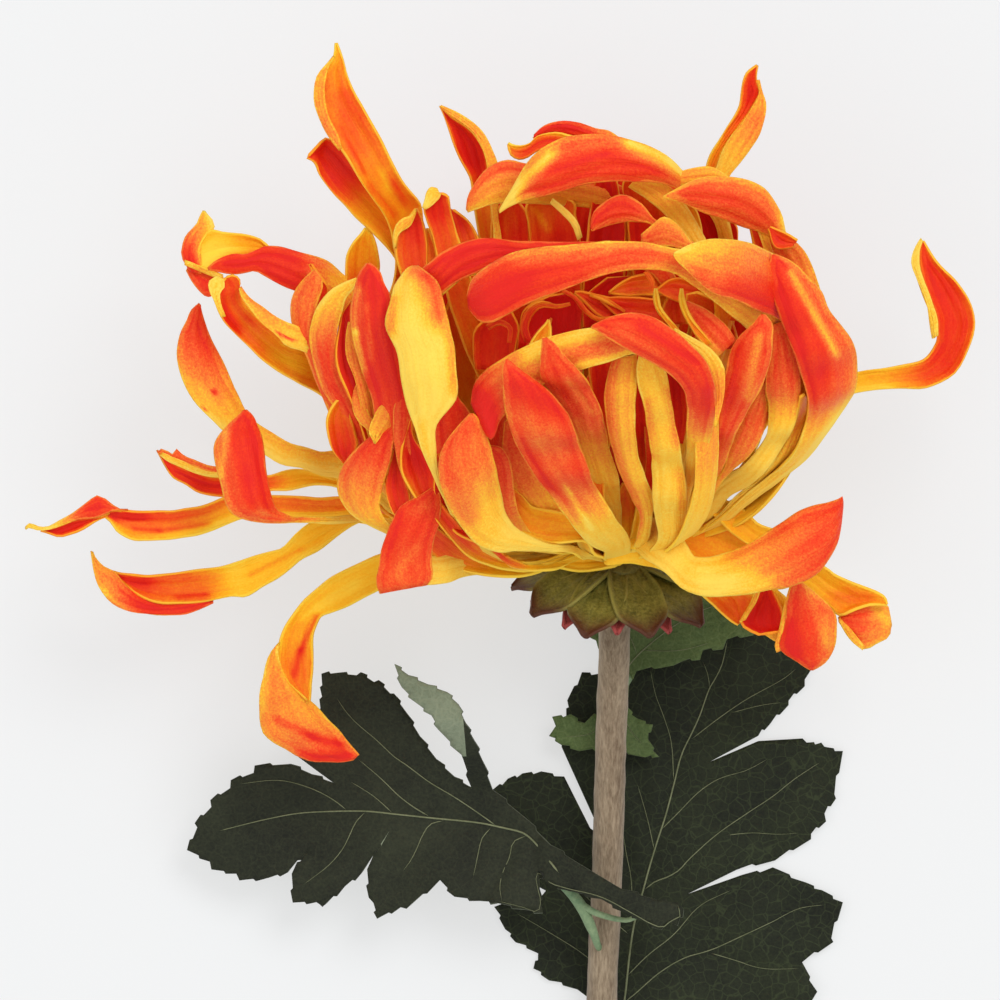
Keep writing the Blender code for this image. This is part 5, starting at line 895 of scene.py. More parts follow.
droopers = (
    strip("in", 0.06, 0.42, (34, 36, 38, 40, 40, 38, 36, 34), (22, 28.9, 20, 31.5), (15.3, 27.7, 14, 31.6),
          (9.5, 28.6, 8, 31.7), (2.6, 28.7, 1.7, 31.9), (-2.7, 28.7, -3.2, 32.2), (-8.1, 26.7, -8.1, 32.6),
          (-12.5, 25.7, -13, 31.8), (-18, 25, -18, 31.6), (-22.7, 24.5, -23.2, 30.9), (-25.2, 23.3, -26, 29.8),
          (-27.6, 22.1, -30, 27.9), (-30, 20.9, -32.5, 26.5), (-32.5, 19.9, -34.9, 24.5), (-34, 19.3, -37.4, 22.3),
          (-34.9, 18.4, -39.3, 20.1), (-35.6, 16.7, -40.8, 17.9), (-35.9, 14.8, -42, 15), (-36, 11.8, -42.5, 12.4),
          (-36.1, 8.9, -42, 9.4), (-36.3, 6, -40.7, 6.6), (-36.4, 4.2, -38.6, 4.6), (-36.5, 3, -37, 3.2), start=0.66,
          full=1, bulge=1.2, strokes=((-35, 19, -38.3, 12.5, 0.6, 0.35), (-38.3, 12.5, -39.5, 8, 0.8, 0.35),
          (-28, 25, -38, 19, 0.8, -0.12), (-10, 31.5, 0, 31.8, 0.5, 0.2))),
    flap("out", 0.42, 0.75, (38, 36, 33, 30, 28), (-42.4, 14.2, -42.7, 13.5), (-42.6, 11.8, -44, 11.8),
         (-42.2, 9.9, -44.7, 9.9), (-41.3, 7.7, -45.2, 7.9), (-40, 5.7, -45.9, 5.2), (-38.1, 4.3, -46.1, 2.1),
         (-36.5, 3, -45.9, -0.9), (-35.2, 1.8, -45.2, -3.1), (-33.9, 0.4, -43.5, -4.7), (-32.4, -1.3, -41, -6),
         (-31, -2.8, -38.8, -7.4), (-30, -4.1, -36.4, -8.3), (-29.1, -5.2, -33.5, -8.4), (-28.2, -6.2, -30.5, -8.5),
         (-27.2, -7.3, -28.3, -8.1), start=0.5, full=1, left=-0.1, strokes=((-42.5, -0.5, -36, -3.7, 0.8, 0.35),
         (-36, -3.7, -31, -5.3, 0.8, 0.4), (-38, -7.5, -30, -8, 1.4, 0.35), (-44.8, 9, -45.5, 2, 1, -0.2))),
    strip("out", 0.06, 0.06, (44, 54, 62, 64), (-1, 28, 0, 31), (-7, 26.8, -7, 31.5), (-12.5, 25.4, -12.8, 30.9),
          (-19, 25.4, -19, 30.4), root="plain"),
    flap("out", 0.7, 0.82, (66, 67, 70, 71, 71), (-23.1, 23.6, -14.2, 25.3), (-23.7, 25.4, -13.2, 26.6),
         (-23.2, 28.5, -13.3, 29.7), (-22.6, 32, -13, 33), (-21.6, 35, -12.2, 35.8), (-20.4, 37.7, -11.6, 38),
         (-18.9, 40.2, -11.5, 40.2), (-15.8, 41.8, -11.7, 42.2), (-12.7, 43.8, -12.3, 43.8), start=0, full=0.5,
         bulge=0.7, strokes=((-22, 33, -19.5, 39, 1.3, 0.15), (-20, 27, -16, 33, 0.8, -0.15),
         (-18, 38.5, -13.5, 40.5, 0.9, -0.12))),
    strip("out", 0.04, 0.82, (38, 50, 52, 54, 56, 55, 53), (24.6, 39.5, 21.5, 36.5), (29, 37.8, 24.5, 33),
          (33, 35.6, 27.5, 30), (35.3, 32.5, 30, 28.5), (36.5, 30.4, 32, 26.8), (38.5, 30.2, 34, 24.8),
          (41.5, 30.8, 38, 23.3), (45.1, 32, 42.5, 23.2), (48, 33.6, 47, 23.5), (50.5, 35.2, 51, 24.5),
          (53.5, 37.1, 54.8, 24.9), (56.5, 39.2, 57.8, 26.2), (59.5, 40.3, 60.2, 27.8), (61.8, 40.7, 61.9, 30.1),
          (63.2, 41.1, 63.4, 33), (64.1, 41.6, 64.2, 36.5), (64.6, 41.9, 64.6, 40.2), start=0.3, full=1, bulge=0.9,
          strokes=((40, 25, 50, 26, 2.5, -0.25), (50, 27.5, 60, 34, 0.9, 0.12), (44, 31, 54, 36.5, 1.5, 0.15))),
    strip("out", 0.05, 0.08, (40, 42), (20, 29, 20, 31.5), (24, 29.4, 23, 34), (27, 29, 27.5, 33), (30, 28.3, 32, 31),
          (33, 27, 34, 29)),
    strip("in", 0.12, 0.45, 38, (42, 25, 35, 26), (45, 24, 38, 23.3), (48, 23, 40.1, 21.5), (47.6, 21.8, 41.9, 19.7),
          (46.6, 20, 44, 18), (45.6, 18.2, 45, 17.5)),
    strip("in", 0.9, 1, (38, 40), (50, 27, 48.5, 27), (51.5, 24.5, 49, 24.4), (52.5, 22.5, 47.9, 21.8),
          (53.3, 20.2, 46.6, 19.8), (53.5, 18, 45.6, 18.2), (53.2, 16.3, 47, 16.6), (50.5, 15.9, 49, 15.7), bulge=1.4,
          inner=0),
    flap("out", 0.3, 0.25, 41, (49.4, 24.6, 48.3, 24.2), (48.4, 22.2, 47.4, 21.4), (47.1, 20.2, 46.2, 19.4),
         (46.2, 18.6, 45.4, 18.1)),
    strip("in", 0.05, 0.1, 38.5, (53.5, 26, 51, 26), (52.4, 24.6, 51.4, 24.5), (53.4, 23.4, 52, 23),
          (54.2, 22.4, 52.7, 21.4), (54, 20.5, 53.2, 20.3), (53.8, 19.6, 53.6, 19.5)),
    flap("out", 0.1, 0.25, 37.5, (53.5, 19, 49.5, 17), (53.4, 17, 49.8, 16.2), (53, 15.2, 50.4, 15.7),
         (52.6, 14.4, 52, 14.7)),
    strip("out", 0.6, 0.82, (46, 44, 42, 40, 38), (55, 29, 54, 28.5), (57, 25.8, 55.6, 26.4),
          (58.6, 24.5, 55.1, 24.6), (60.4, 23, 54.6, 22.4), (62.2, 21.2, 54.2, 20), (63.6, 19.2, 53.8, 17.6),
          (63.7, 16.8, 53.3, 15.3), (63.5, 14.3, 52.9, 13.5), (62.8, 12.4, 54, 12.1), (61.8, 10.8, 56, 10.9),
          (60.2, 9.6, 57.6, 9.8), (59.2, 9.1, 58.8, 9.1), start=0, full=0.5, left=-0.25,
          strokes=((58, 24, 61.5, 14, 0.8, -0.2), (54.6, 17, 56, 12.5, 1.8, 0.2), (61.5, 19, 62.3, 13, 0.9, -0.15))),
    flap("out", 0.3, 0.35, (45, 42, 40), (55.9, 26.5, 55.3, 26.3), (55.2, 24, 54.6, 23.8), (54.6, 21.5, 53.9, 21.2),
         (54.1, 19, 53.4, 18.6), (53.6, 16.4, 52.8, 16), (53, 14.2, 52.1, 13.4), (53.2, 12.8, 52.4, 12.4)),
    strip("in", 0.08, 0.28, (36, 38), (56, 27.5, 53, 24.5), (61.2, 28.6, 57.5, 25.2), (63.5, 27, 60.2, 23),
          (66.5, 25.6, 62.7, 20.8), (69.5, 24.5, 64.4, 19.4), (71.7, 23.6, 67.5, 20.6), (73, 22.7, 70.5, 21.4),
          (73.4, 21.5, 73.3, 21.2), strokes=((63, 23, 70, 22.5, 1, 0.12),)),
    flap("out", 0.75, 0.5, (36, 34), (64.3, 18.9, 64.3, 18.3), (66, 19.9, 65.2, 17.1), (68.3, 20.7, 66.7, 15.2),
         (70.3, 21.3, 68.3, 13.2), (71.8, 21.5, 70, 13.3), (73.3, 21.4, 71.6, 14.3), (73.8, 19.3, 73.2, 15),
         (74.1, 17.5, 73.9, 16), right=-0.15, strokes=((71.5, 20.5, 73.5, 18, 1.4, -0.3),)),
    flap("out", 0.25, 0.3, 36.6, (64.2, 19.2, 64.2, 18.2), (66.1, 17, 65.4, 16.2), (67.6, 15, 67, 14.3),
         (69, 13.4, 68.8, 12.8)),
    strip("in", 0.1, 0.12, (36, 40, 41), (32, 43, 32, 39), (34.5, 42.5, 34.5, 40), (38, 42.8, 38, 39.6),
          (41.5, 41.6, 41, 37.8), (45.5, 40, 43.5, 35.3), (48.5, 37, 46.5, 33), (51.5, 35.8, 50, 31.5),
          (55, 35, 54, 31)),
    strip("in", 0.22, 0.2, (36, 38), (31, 40, 31, 33), (34.5, 39.5, 33.5, 31.5), (38.5, 39, 36, 30.5),
          (43, 37.5, 39, 28.5), (47.5, 34.5, 43, 27.5), (50, 31, 48, 26)),
)
cupBlades = (
    flap("in", 0.5, 0.6, 66, (30.5, 80, 30, 84.5), (27, 80, 27, 84), (24, 79.8, 24.2, 83.3), (22, 80, 22.3, 82.2),
         (20.2, 80.4, 20.3, 80.6), inner=0, rim=0.9),
    flap("in", 0.8, 0.72, 67, (22, 74.5, 20.5, 79.5), (18, 76.5, 17.5, 80.2), (15.5, 79, 15, 80.8),
         (13.8, 80.4, 13.8, 80.7), inner=0, rim=0.9),
    flap("in", 0.6, 0.65, 67.5, (36.5, 78.5, 38, 82), (33.5, 78.8, 34.8, 83.2), (31, 79.8, 31.8, 83),
         (29.2, 80.8, 29.4, 81.2), inner=0, rim=0.9),
    flap("in", 0.72, 0.78, 68.5, (30.5, 73, 30, 79), (25.5, 74, 25.2, 79.7), (21.5, 76.4, 21.2, 79.7),
         (18.8, 79, 18.7, 79.4), inner=0, rim=0.9),
    flap("out", 0.75, 0.6, 70, (27, 84.4, 27.6, 84.5), (27.9, 82.8, 28.7, 83), (28.4, 81, 28.9, 81.1), rim=0.9),
    flap("out", 0.75, 0.6, 72, (11.4, 80.7, 11.7, 81), (13.7, 79.5, 14.3, 79.3), (15.5, 77.2, 16.2, 77),
         (18.1, 75.3, 18.3, 75.9), (21, 75.7, 21.1, 75.9), rim=0.9),
    flap("out", 0.85, 0.6, 73, (5.8, 70.8, 4.6, 71.2), (4.9, 74, 3.6, 74.2), (6, 76.6, 5, 77.4), (7.4, 77.7, 7, 78.7),
         (10.8, 77.6, 10.9, 78.2), (13, 78.2, 12.9, 78.5), rim=0.9),
    flap("out", 0.85, 0.75, 74, (-2.4, 73.4, -3, 74.2), (-0.4, 74.4, -0.6, 75.4), (1.2, 73.6, 1.7, 74.2),
         (1.2, 71, 1.7, 71), rim=0.9),
    flap("out", 0.6, 0.6, 69, (16.7, 80.1, 16.8, 80.4), (19.8, 78.7, 20.1, 79.2), (23.3, 76.8, 23.4, 77), rim=0.8),
    flap("in", 0.62, 0.55, (62, 70), (36, 70, 45, 70), (37, 73, 44.3, 73), (36.5, 76, 43, 76), (35, 78.6, 41, 78.8),
         (35, 80.2, 37, 80.6), inner=0, strokes=((42, 71, 44, 74, 1.5, 0.3),)),
    flap("in", 0.55, 0.5, 68, (40, 75.5, 46.6, 75), (40.5, 78, 45, 78.4), (39.5, 80.2, 42, 81), inner=0),
    flap("in", 0.62, 0.7, (64, 67), (30, 74.6, 35.5, 74.6), (30.4, 77.5, 34.6, 77.5), (31.4, 79.5, 34, 79.6),
         (32.4, 80.6, 33, 80.6), inner=0),
    flap("in", 0.97, 0.92, (60, 62), (15.5, 74, 29.5, 74), (15.5, 77, 29, 77), (16, 80, 28.5, 80.4),
         (20, 83.4, 28, 84), bulge=0.4),
    flap("in", 1, 1, (58, 60), (3, 70, 14.8, 70), (3.4, 74, 15.2, 74), (5.6, 78.4, 15, 79), (9, 80, 13, 80.6),
         bulge=0.8),
    flap("in", 0.8, 0.85, (64, 66), (-5, 66, 2.6, 66), (-5.4, 70, 2.6, 70), (-5, 73.6, 3.2, 74), (-2, 76.4, 2, 76.8),
         inner=0),
)


def growGroup(name, rows, first):
    bm = bmesh.new()
    for i, row in enumerate(rows):
        growStrip(bm, first + i, *row)
    finishPiece(bm, name, petalMaterials, "bloom", "petal", stripShape["thickness"])
    print("grown", name, len(rows))


growGroup("petals_left_long", leftStreamers, 0)
growGroup("petals_left_ball", leftBall, 20)
growGroup("petals_crown", crown, 40)
growGroup("petals_arching", arches, 80)
growGroup("petals_right", rightBall, 90)
growGroup("petals_front", frontBall, 100)
growGroup("petals_drooping", droopers, 120)
growGroup("petals_cup_rims", cupBlades, 140)

# a petal that is placed by rule, for the side that the photograph doesn't show and for the cup
rulePetal = {"across": 10, "ringStep": 2.2, "leastRings": 14, "mostRings": 44, "tipCrowd": 1.25, "thickness": 0.62,
             "point": 15.0, "blade": 36.0, "claw": 0.48, "blunt": 0.75, "arc": 1.5, "wave": 0.35, "crease": 0.22,
             "sway": 0.2, "rim": 0.7, "inner": 0.06, "paleEdge": 0.12, "paleFrom": 0.4, "seedStep": 7.31,
             "pointShare": 0.36, "taper": 2.4, "bladeShare": 0.9, "arcRoot": 1.15, "arcLoss": 0.4, "arcTip": 0.55,
             "arcGain": 0.45, "arcGainOver": 9, "waveAcross": 0.35, "waveLift": 1.6, "creaseEnds": 12,
             "fullCrease": 4, "swayStart": 15, "lowest": -38, "sink": 0.5, "rootShare": 0.7}


def widthShare(toTip, length):
    # by the distance to the tip: a narrow claw, a broad blade and a short point
    point = min(rulePetal["point"], rulePetal["pointShare"] * length)
    if toTip < point:
        return max(1.0 - (1.0 - toTip / point) ** rulePetal["taper"], 0.0) ** rulePetal["blunt"]
    f = smoothStep(0, min(rulePetal["blade"], rulePetal["bladeShare"] * (length - point)), toTip - point)
    return 1.0 - (1.0 - rulePetal["claw"]) * f


def growPetal(bm, number, width, route, inside, look):
    # along the route, with its inner face towards the place inside
    _, length = curveThrough(route, (0.0,))
    rings = min(max(rulePetal["leastRings"], int(length / rulePetal["ringStep"])), rulePetal["mostRings"])
    shares = [1.0 - (1.0 - i / rings) ** rulePetal["tipCrowd"] for i in range(rings + 1)]
    centres, _ = curveThrough(route, shares)
    frames = []
    for i, centre in enumerate(centres):
        run = (centres[min(i + 1, rings)] - centres[max(i - 1, 0)]).normalized()
        face = inside - centre
        face = (face - run * face.dot(run)).normalized()
        frames.append((run.cross(face), face))
    seed = number * rulePetal["seedStep"]

    def halfAt(share):
        return 0.5 * width * widthShare(length * (1 - share), length)

    def placeAt(u, s):
        i = round(s * rings)
        share = shares[i]
        toTip = length * (1 - share)
        along = share * length
        side, face = frames[i]
        half = halfAt(share)
        bend = rulePetal["arc"] * (rulePetal["arcRoot"] - rulePetal["arcLoss"] * share)
        bend *= (rulePetal["arcTip"] + rulePetal["arcGain"] * smoothStep(0, rulePetal["arcGainOver"], toTip)) / 2
        out = math.sin(u * bend) / math.sin(bend)
        lift = half * (1 - math.cos(u * bend)) / math.sin(bend)
        wave = unevenAt("ruleWave", seed, u, along) * rulePetal["wave"] * look["wave"] * u * u
        crease = rulePetal["crease"] * math.cos(3 * math.pi * u)
        crease *= smoothStep(0, rulePetal["creaseEnds"], toTip) * smoothStep(0, rulePetal["creaseEnds"], along)
        crease *= min(half / rulePetal["fullCrease"], 1)
        sway = unevenAt("ruleSway", seed, u, along) * rulePetal["sway"] * smoothStep(0, rulePetal["swayStart"], along)
        across = half * out + rulePetal["waveAcross"] * wave * (1 if u > 0 else -1) + sway
        return centres[i] + side * across + face * (lift + wave * rulePetal["waveLift"] + crease)

    def dyeAt(u, s):
        share = shares[round(s * rings)]
        body = look["deep"] * smoothStep(look["start"], look["full"], share)
        body -= rulePetal["paleEdge"] * smoothStep(rulePetal["paleFrom"], 1.0, abs(u)) * body
        body = min(max(body, 0.0), 1.0)
        gap = (1 - abs(u)) * halfAt(share)
        return (min(body + rulePetal["inner"], 1.0), body, rulePetal["rim"] * body, min(gap / petalMap["gap"], 1.0))

    def flatAt(u, s):
        return mapSpot(u * width / 2, shares[round(s * rings)] * length, number)

    mapGrid(bm, rulePetal["across"], rings, placeAt, flatAt, dyeAt)


def ballPetal(bm, number, angle, radius, sweep, width, start, full, deep, wave=1.0):
    # a petal that curves over a ball of this radius, at this angle round the bloom's axis
    axis = head["axis"]
    out = outwards(angle)
    centre = head["ballCentre"] - axis * (head["ballRadius"] - radius) * rulePetal["sink"]
    route = [head["receptacle"] + axis * head["rootRise"] + out * head["rootRadius"] * rulePetal["rootShare"]]
    for k in range(4):
        bend = math.radians(rulePetal["lowest"] + sweep * k / 3)
        route.append(centre + (out * math.cos(bend) + axis * math.sin(bend)) * radius)
    growPetal(bm, number, width, route, centre, {"start": start, "full": full, "deep": deep, "wave": wave})


# angles in degrees round the bloom's axis; the head lies on the resting petals
underPetals = {"count": 15, "from": 188, "over": 164, "radius": 40.5, "step": 3.5, "sweep": 88.0, "lyingCut": 30.0,
               "width": 11.0, "seed": 11, "restingAngles": (247.0, 270.0, 293.0), "restingSweep": 50.0,
               "restingWidth": 12.0, "restingGap": 1.2}


def growUnder():
    draw = random.Random(underPetals["seed"])
    bm = bmesh.new()
    for i in range(underPetals["count"]):
        turn = underPetals["over"] * i / (underPetals["count"] - 1)
        angle = math.radians(underPetals["from"] + turn + draw.uniform(-4, 4))
        full = draw.uniform(0.6, 0.9)
        deep = draw.uniform(0.5, 1.0)
        sweep = underPetals["sweep"] + underPetals["lyingCut"] * math.sin(angle) + draw.uniform(-12, 4)
        radius = underPetals["radius"] - underPetals["step"] * (i % 3)
        ballPetal(bm, 150 + i, angle, radius, sweep, underPetals["width"], 0.2, full, deep)
    for i, degrees in enumerate(underPetals["restingAngles"]):
        angle = math.radians(degrees)
        radius = (head["ballCentre"].z - underPetals["restingGap"]) / math.hypot(outwards(angle).z, head["axis"].z)
        ballPetal(bm, 170 + i, angle, radius, underPetals["restingSweep"], underPetals["restingWidth"], 0.2, 0.7, 0.9)
    finishPiece(bm, "petals_under", petalMaterials, "bloom", "petal", rulePetal["thickness"])


cupPetals = {"count": 26, "turn": math.pi * (3 - math.sqrt(5)), "radius": 10, "spread": 14, "sweep": 95, "seed": 5,
             "thickness": 0.5}


def growCup():
    draw = random.Random(cupPetals["seed"])
    bm = bmesh.new()
    for i in range(cupPetals["count"]):
        deep = draw.uniform(0.72, 0.95)
        radius = cupPetals["radius"] + cupPetals["spread"] * (i / cupPetals["count"]) + draw.uniform(-2, 2)
        sweep = cupPetals["sweep"] + draw.uniform(-12, 16)
        ballPetal(bm, 180 + i, i * cupPetals["turn"], radius, sweep, draw.uniform(5, 8), 0.0, 0.2, deep, 2.5)
    finishPiece(bm, "petals_cup", petalMaterials, "bloom", "petal", cupPetals["thickness"])


growUnder()
growCup()

core = {"size": (10.0, 10.0, 15.0), "rise": 17.5, "bumps": 1.2, "bumpScale": 0.35}


def makeCore():
    bm = bmesh.new()
    bmesh.ops.create_icosphere(bm, subdivisions=4, radius=1.0)
    bmesh.ops.scale(bm, vec=core["size"], verts=bm.verts)
    bmesh.ops.rotate(bm, cent=(0, 0, 0), matrix=up.rotation_difference(head["axis"]).to_matrix(), verts=bm.verts)
    bmesh.ops.translate(bm, vec=head["receptacle"] + head["axis"] * core["rise"], verts=bm.verts)
    for v in bm.verts:
        v.co += v.normal * noise.noise(v.co * core["bumpScale"]) * core["bumps"]
    finishPiece(bm, "receptacle_core", (coreRed,), "bloom", "petal")


makeCore()
print("bloom made")

calyxShape = {"bracts": 10, "firstAngle": -2, "length": 20.0, "width": 10.4, "thickness": 0.7, "lowerLength": 17.1,
              "lowerWidth": 5.0, "columns": 24, "rings": 18, "rise": 0.7, "start": 1.2, "droop": 5.3, "sideDroop": 1.6,
              "stagger": 0.7, "lowerGap": 1.0, "ridge": 0.7, "ribs": 0.16, "uneven": 0.25, "neck": 0.5, "neckTo": 0.6,
              "point": (0.74, 1.04), "taper": 1.4, "pointLoss": 0.93, "redFrom": 0.74, "red": 0.9, "redSides": 0.1,
              "paleFrom": 0.88, "pale": 0.8, "pinkOver": (0.7, 0.9),
              "hubPlaces": (0.2, 1.0, 3.5, 5.0), "hubRadii": (4.0, 5.8, 4.6, 3.5), "hubRed": 0.2}


def makeCalyxMaterial():
    # olive, with masks for the dark red tips, the paler edges and the pink tips of the lower whorl
    mat, colour = mottledMaterial("calyxGreen", (76, 76, 22), (142, 134, 60), 330.0, 1900.0, 0.55, 1.0, grainShare=0.5)
    tree = mat.node_tree
    dye = addNode(tree, "ShaderNodeAttribute", attribute_name="dye")
    masks = addNode(tree, "ShaderNodeSeparateColor", {0: dye.outputs["Color"]})
    for channel, tint in enumerate(((76, 24, 20), (150, 142, 70), (158, 64, 60))):
        colour = mixOf(tree, masks.outputs[channel], colour, srgb(*tint))
    feed(tree, tree.nodes["Principled BSDF"], {"Base Color": colour})
    return mat


def makeCalyx():
    axis = head["axis"]
    top = head["receptacle"] + axis * calyxShape["rise"]
    material = makeCalyxMaterial()
    bm = bmesh.new()
    for k in range(2 * calyxShape["bracts"]):
        lower = k % 2
        angle = math.radians(180 * k / calyxShape["bracts"] + calyxShape["firstAngle"])
        out = outwards(angle)
        across = out.cross(axis)
        length = calyxShape["lowerLength" if lower else "length"]
        wide = calyxShape["lowerWidth" if lower else "width"]

        def placeAt(u, s):
            width = wide * (calyxShape["neck"] + (1 - calyxShape["neck"]) * smoothStep(0, calyxShape["neckTo"], s))
            width *= 1 - smoothStep(*calyxShape["point"], s) ** calyxShape["taper"] * calyxShape["pointLoss"]
            droop = calyxShape["droop"] + calyxShape["sideDroop"] * math.cos(angle) ** 2
            back = calyxShape["start"] + droop * s**2 + calyxShape["stagger"] * (k // 2 % 2)
            back += calyxShape["lowerGap"] * lower
            ridge = calyxShape["ridge"] * (1 - u * u) + calyxShape["ribs"] * math.cos(5 * math.pi * u) * (1 - s * s)
            shift = calyxShape["uneven"] * noise.noise(Vector((k * 2.1, s * 5, u)))
            return top + out * (length * s) + across * (u * width / 2 + shift) - axis * (back + ridge)

        def dyeAt(u, s):
            tip = smoothStep(calyxShape["redFrom"], 1.0, s + calyxShape["redSides"] * abs(u)) * calyxShape["red"]
            pink = smoothStep(*calyxShape["pinkOver"], s)
            edge = calyxShape["pale"] * smoothStep(calyxShape["paleFrom"], 1.0, abs(u)) * (1 - pink)
            return (tip * (1 - lower), edge, lower * pink, 1.0)

        mapGrid(bm, calyxShape["columns"], calyxShape["rings"], placeAt, dyeAt=dyeAt)
    bmesh.ops.reverse_faces(bm, faces=bm.faces)
    finishPiece(bm, "calyx_bracts", (material,) * 3, "calyx", "calyx_green", calyxShape["thickness"])
    bm = bmesh.new()
    tubeAlong(bm, [top - axis * down for down in calyxShape["hubPlaces"]], calyxShape["hubRadii"], 20, 0.5)
    dyeLayer = bm.verts.layers.float_color["dye"]
    for v in bm.verts:
        v[dyeLayer] = (calyxShape["hubRed"], 0.0, 0.0, 1.0)
    finishPiece(bm, "calyx_hub", (material,), "calyx", "calyx_green")


makeCalyx()

stemShape = {"radii": (3.0, 2.8), "sides": 28, "ringStep": 0.8, "rough": 0.05, "start": 4.6, "straight": 6.0,
             "lowest": 0.02,
             "route": ((21.4, 8, 14.8), (20.9, -5, 12.3), (20.5, -20, 10.6), (20, -35, 9), (19.3, -50, 7.6),
                       (18.9, -70, 6), (18.5, -90, 4.6), (18.2, -110, 3.4), (18, -127.8, 2.8))}


def makeStem():
    start = head["receptacle"] - head["axis"] * stemShape["start"]
    route = (start, start - head["axis"] * stemShape["straight"]) + stemShape["route"]
    bm = bmesh.new()
    tubeAlong(bm, route, stemShape["radii"], stemShape["sides"], stemShape["ringStep"], stemShape["rough"])
    for v in bm.verts:
        v.co.z = max(v.co.z, stemShape["lowest"])
    finishPiece(bm, "stem_felted", (stemFelt,), "stem", "felted_stem")


makeStem()
print("stem made")

leftOutline = (
    (-60.2, -25.7), (-58.2, -21.3), (-58.7, -20.5), (-55.5, -17.4), (-55.7, -16.1), (-51.9, -13.8), (-51.8, -12.3),
    (-47.4, -10.9), (-47.2, -9.5), (-40.3, -9.2), (-36.2, -11.2), (-31.9, -12.9), (-39.4, -7.4), (-34.6, 1.5),
    (-34.8, 3.2), (-34.3, 3.7), (-34.4, 8.1), (-31.1, 8.3), (-27.7, 7.8), (-26.9, 8.4), (-24.4, 6.5), (-23.5, 6.9),
    (-21.3, 4.3), (-20.6, 4.3), (-18, 0.4), (-15.6, -3.9), (-12.5, -8.2), (-9, -11.6), (-5.6, -13.8), (-7.6, -7.2),
    (-12.1, -2.3), (-13.3, 0.2), (-16.5, 2.8), (-19, 5.6), (-20.4, 10), (-17.8, 7.9), (-14, 6.1), (-10.5, 4.7),
    (-8.3, 2.4), (-6.8, -1.4), (-5.1, -4.8), (-3.6, -8.6), (-1.7, -14.1), (4, -19), (9.4, -24.6), (14.9, -28.2),
    (23, -33), (29.8, -35), (33.6, -35.5), (34.8, -36.9), (33.6, -40), (32, -39.1), (30.5, -40.8), (26.4, -38.8),
    (23.1, -37.3), (19, -34.9), (12.2, -33.2), (8.8, -31.8), (7.2, -29.4), (7.3, -33), (7.9, -37.6), (4.1, -36.9),
    (-0.7, -35.7), (-4.1, -35.3), (-9, -34.5), (-11.8, -31.3), (-18.2, -36.8), (-19.3, -36.5), (-23.8, -38.7),
    (-24.5, -35.7), (-25.4, -34.7), (-25.7, -29.3), (-21.5, -22.1), (-26.9, -30.2), (-30, -32.6), (-34.1, -36.4),
    (-35.4, -35.6), (-39.9, -35.7), (-40.1, -30.2), (-37, -25.4), (-40.9, -29.9), (-44.7, -31), (-50.1, -31.5),
    (-50.7, -30.2), (-55.5, -29.4), (-55.8, -27.9))
rightOutline = (
    (22.6, -62.5), (24.6, -60), (30, -63.5), (36.5, -68.5), (41, -70.2), (41.8, -68.6), (46.5, -69.2), (47, -67.4),
    (51.5, -66.6), (52, -64.6), (56.4, -62), (56.2, -59.6), (60.5, -52.9), (57.6, -47.3), (63.6, -43.4),
    (63.2, -42.7), (65.4, -35.8), (61.4, -33.5), (58.3, -32), (52, -29.1), (46, -30.6), (35.7, -34.2), (45, -29.6),
    (52.4, -27.8), (59.3, -23.7), (59.3, -22.7), (62.2, -20.3), (61.9, -18.8), (64.1, -15.9), (63.8, -15.1),
    (65.4, -6.8), (61.9, -6), (61.3, -5.2), (58.5, -5.2), (57.7, -4.4), (49.2, -4.9), (39.9, -8.9), (49.2, -3.9),
    (51.5, -1.6), (55, 2), (55, 2.8), (58.1, 5.6), (58.1, 6.9), (59.4, 8.9), (58, 14.5), (56.2, 15), (54.5, 20),
    (50.5, 21.4), (46.8, 25.6), (43.4, 23), (41, 22.6), (37.4, 17), (33.5, 14.5), (27, 13), (20.5, 10.5), (18.6, 8),
    (15.4, 8.3), (12.6, 2.9), (12.4, -0.2), (11.5, -6), (17.6, -19.5), (22, -25.5), (17, -21.6), (12, -11.7),
    (7.6, -10.7), (4, -11.1), (1.2, -12.1), (-1.8, -14.3), (-3.5, -18), (-3, -21.5), (-5.2, -25), (-2.4, -28),
    (1.5, -31), (6, -32), (8.5, -33.6), (6, -35.3), (3, -35.2), (-1.4, -36.7), (0.7, -41), (2.7, -43.5), (7, -45.6),
    (6.1, -48.5), (9.1, -50.8), (14.5, -52.5), (18.5, -56.5), (20.5, -61.5))
upperOutline = (
    (21.4, 5.5), (19.5, 2), (15.9, -1.4), (13.2, 0.3), (9.7, -0.2), (10.4, -2), (9.1, -3.9), (11.5, -5.6),
    (14.9, -6.8), (21, -6.6), (27.5, -8), (30.2, -7.9), (28.1, -4.6), (29, -1.7), (26.1, -0.6), (24, 1.8),
    (24.4, 5.4), (25.8, 8.5), (32.9, 9.6), (34.8, 10.5), (38, 10.7), (38.5, 12.5), (42.4, 12.7), (43.1, 14.6),
    (48.2, 15.4), (50.5, 19), (48.5, 20.8), (47, 24.5), (42.5, 24.6), (40, 27.2), (35.5, 25.4), (30.5, 25.8),
    (27, 22), (22.5, 22.4), (19.5, 20.4), (15.3, 18.8), (16, 15.6), (18.1, 14.4), (18.5, 12.9), (21, 9.5))

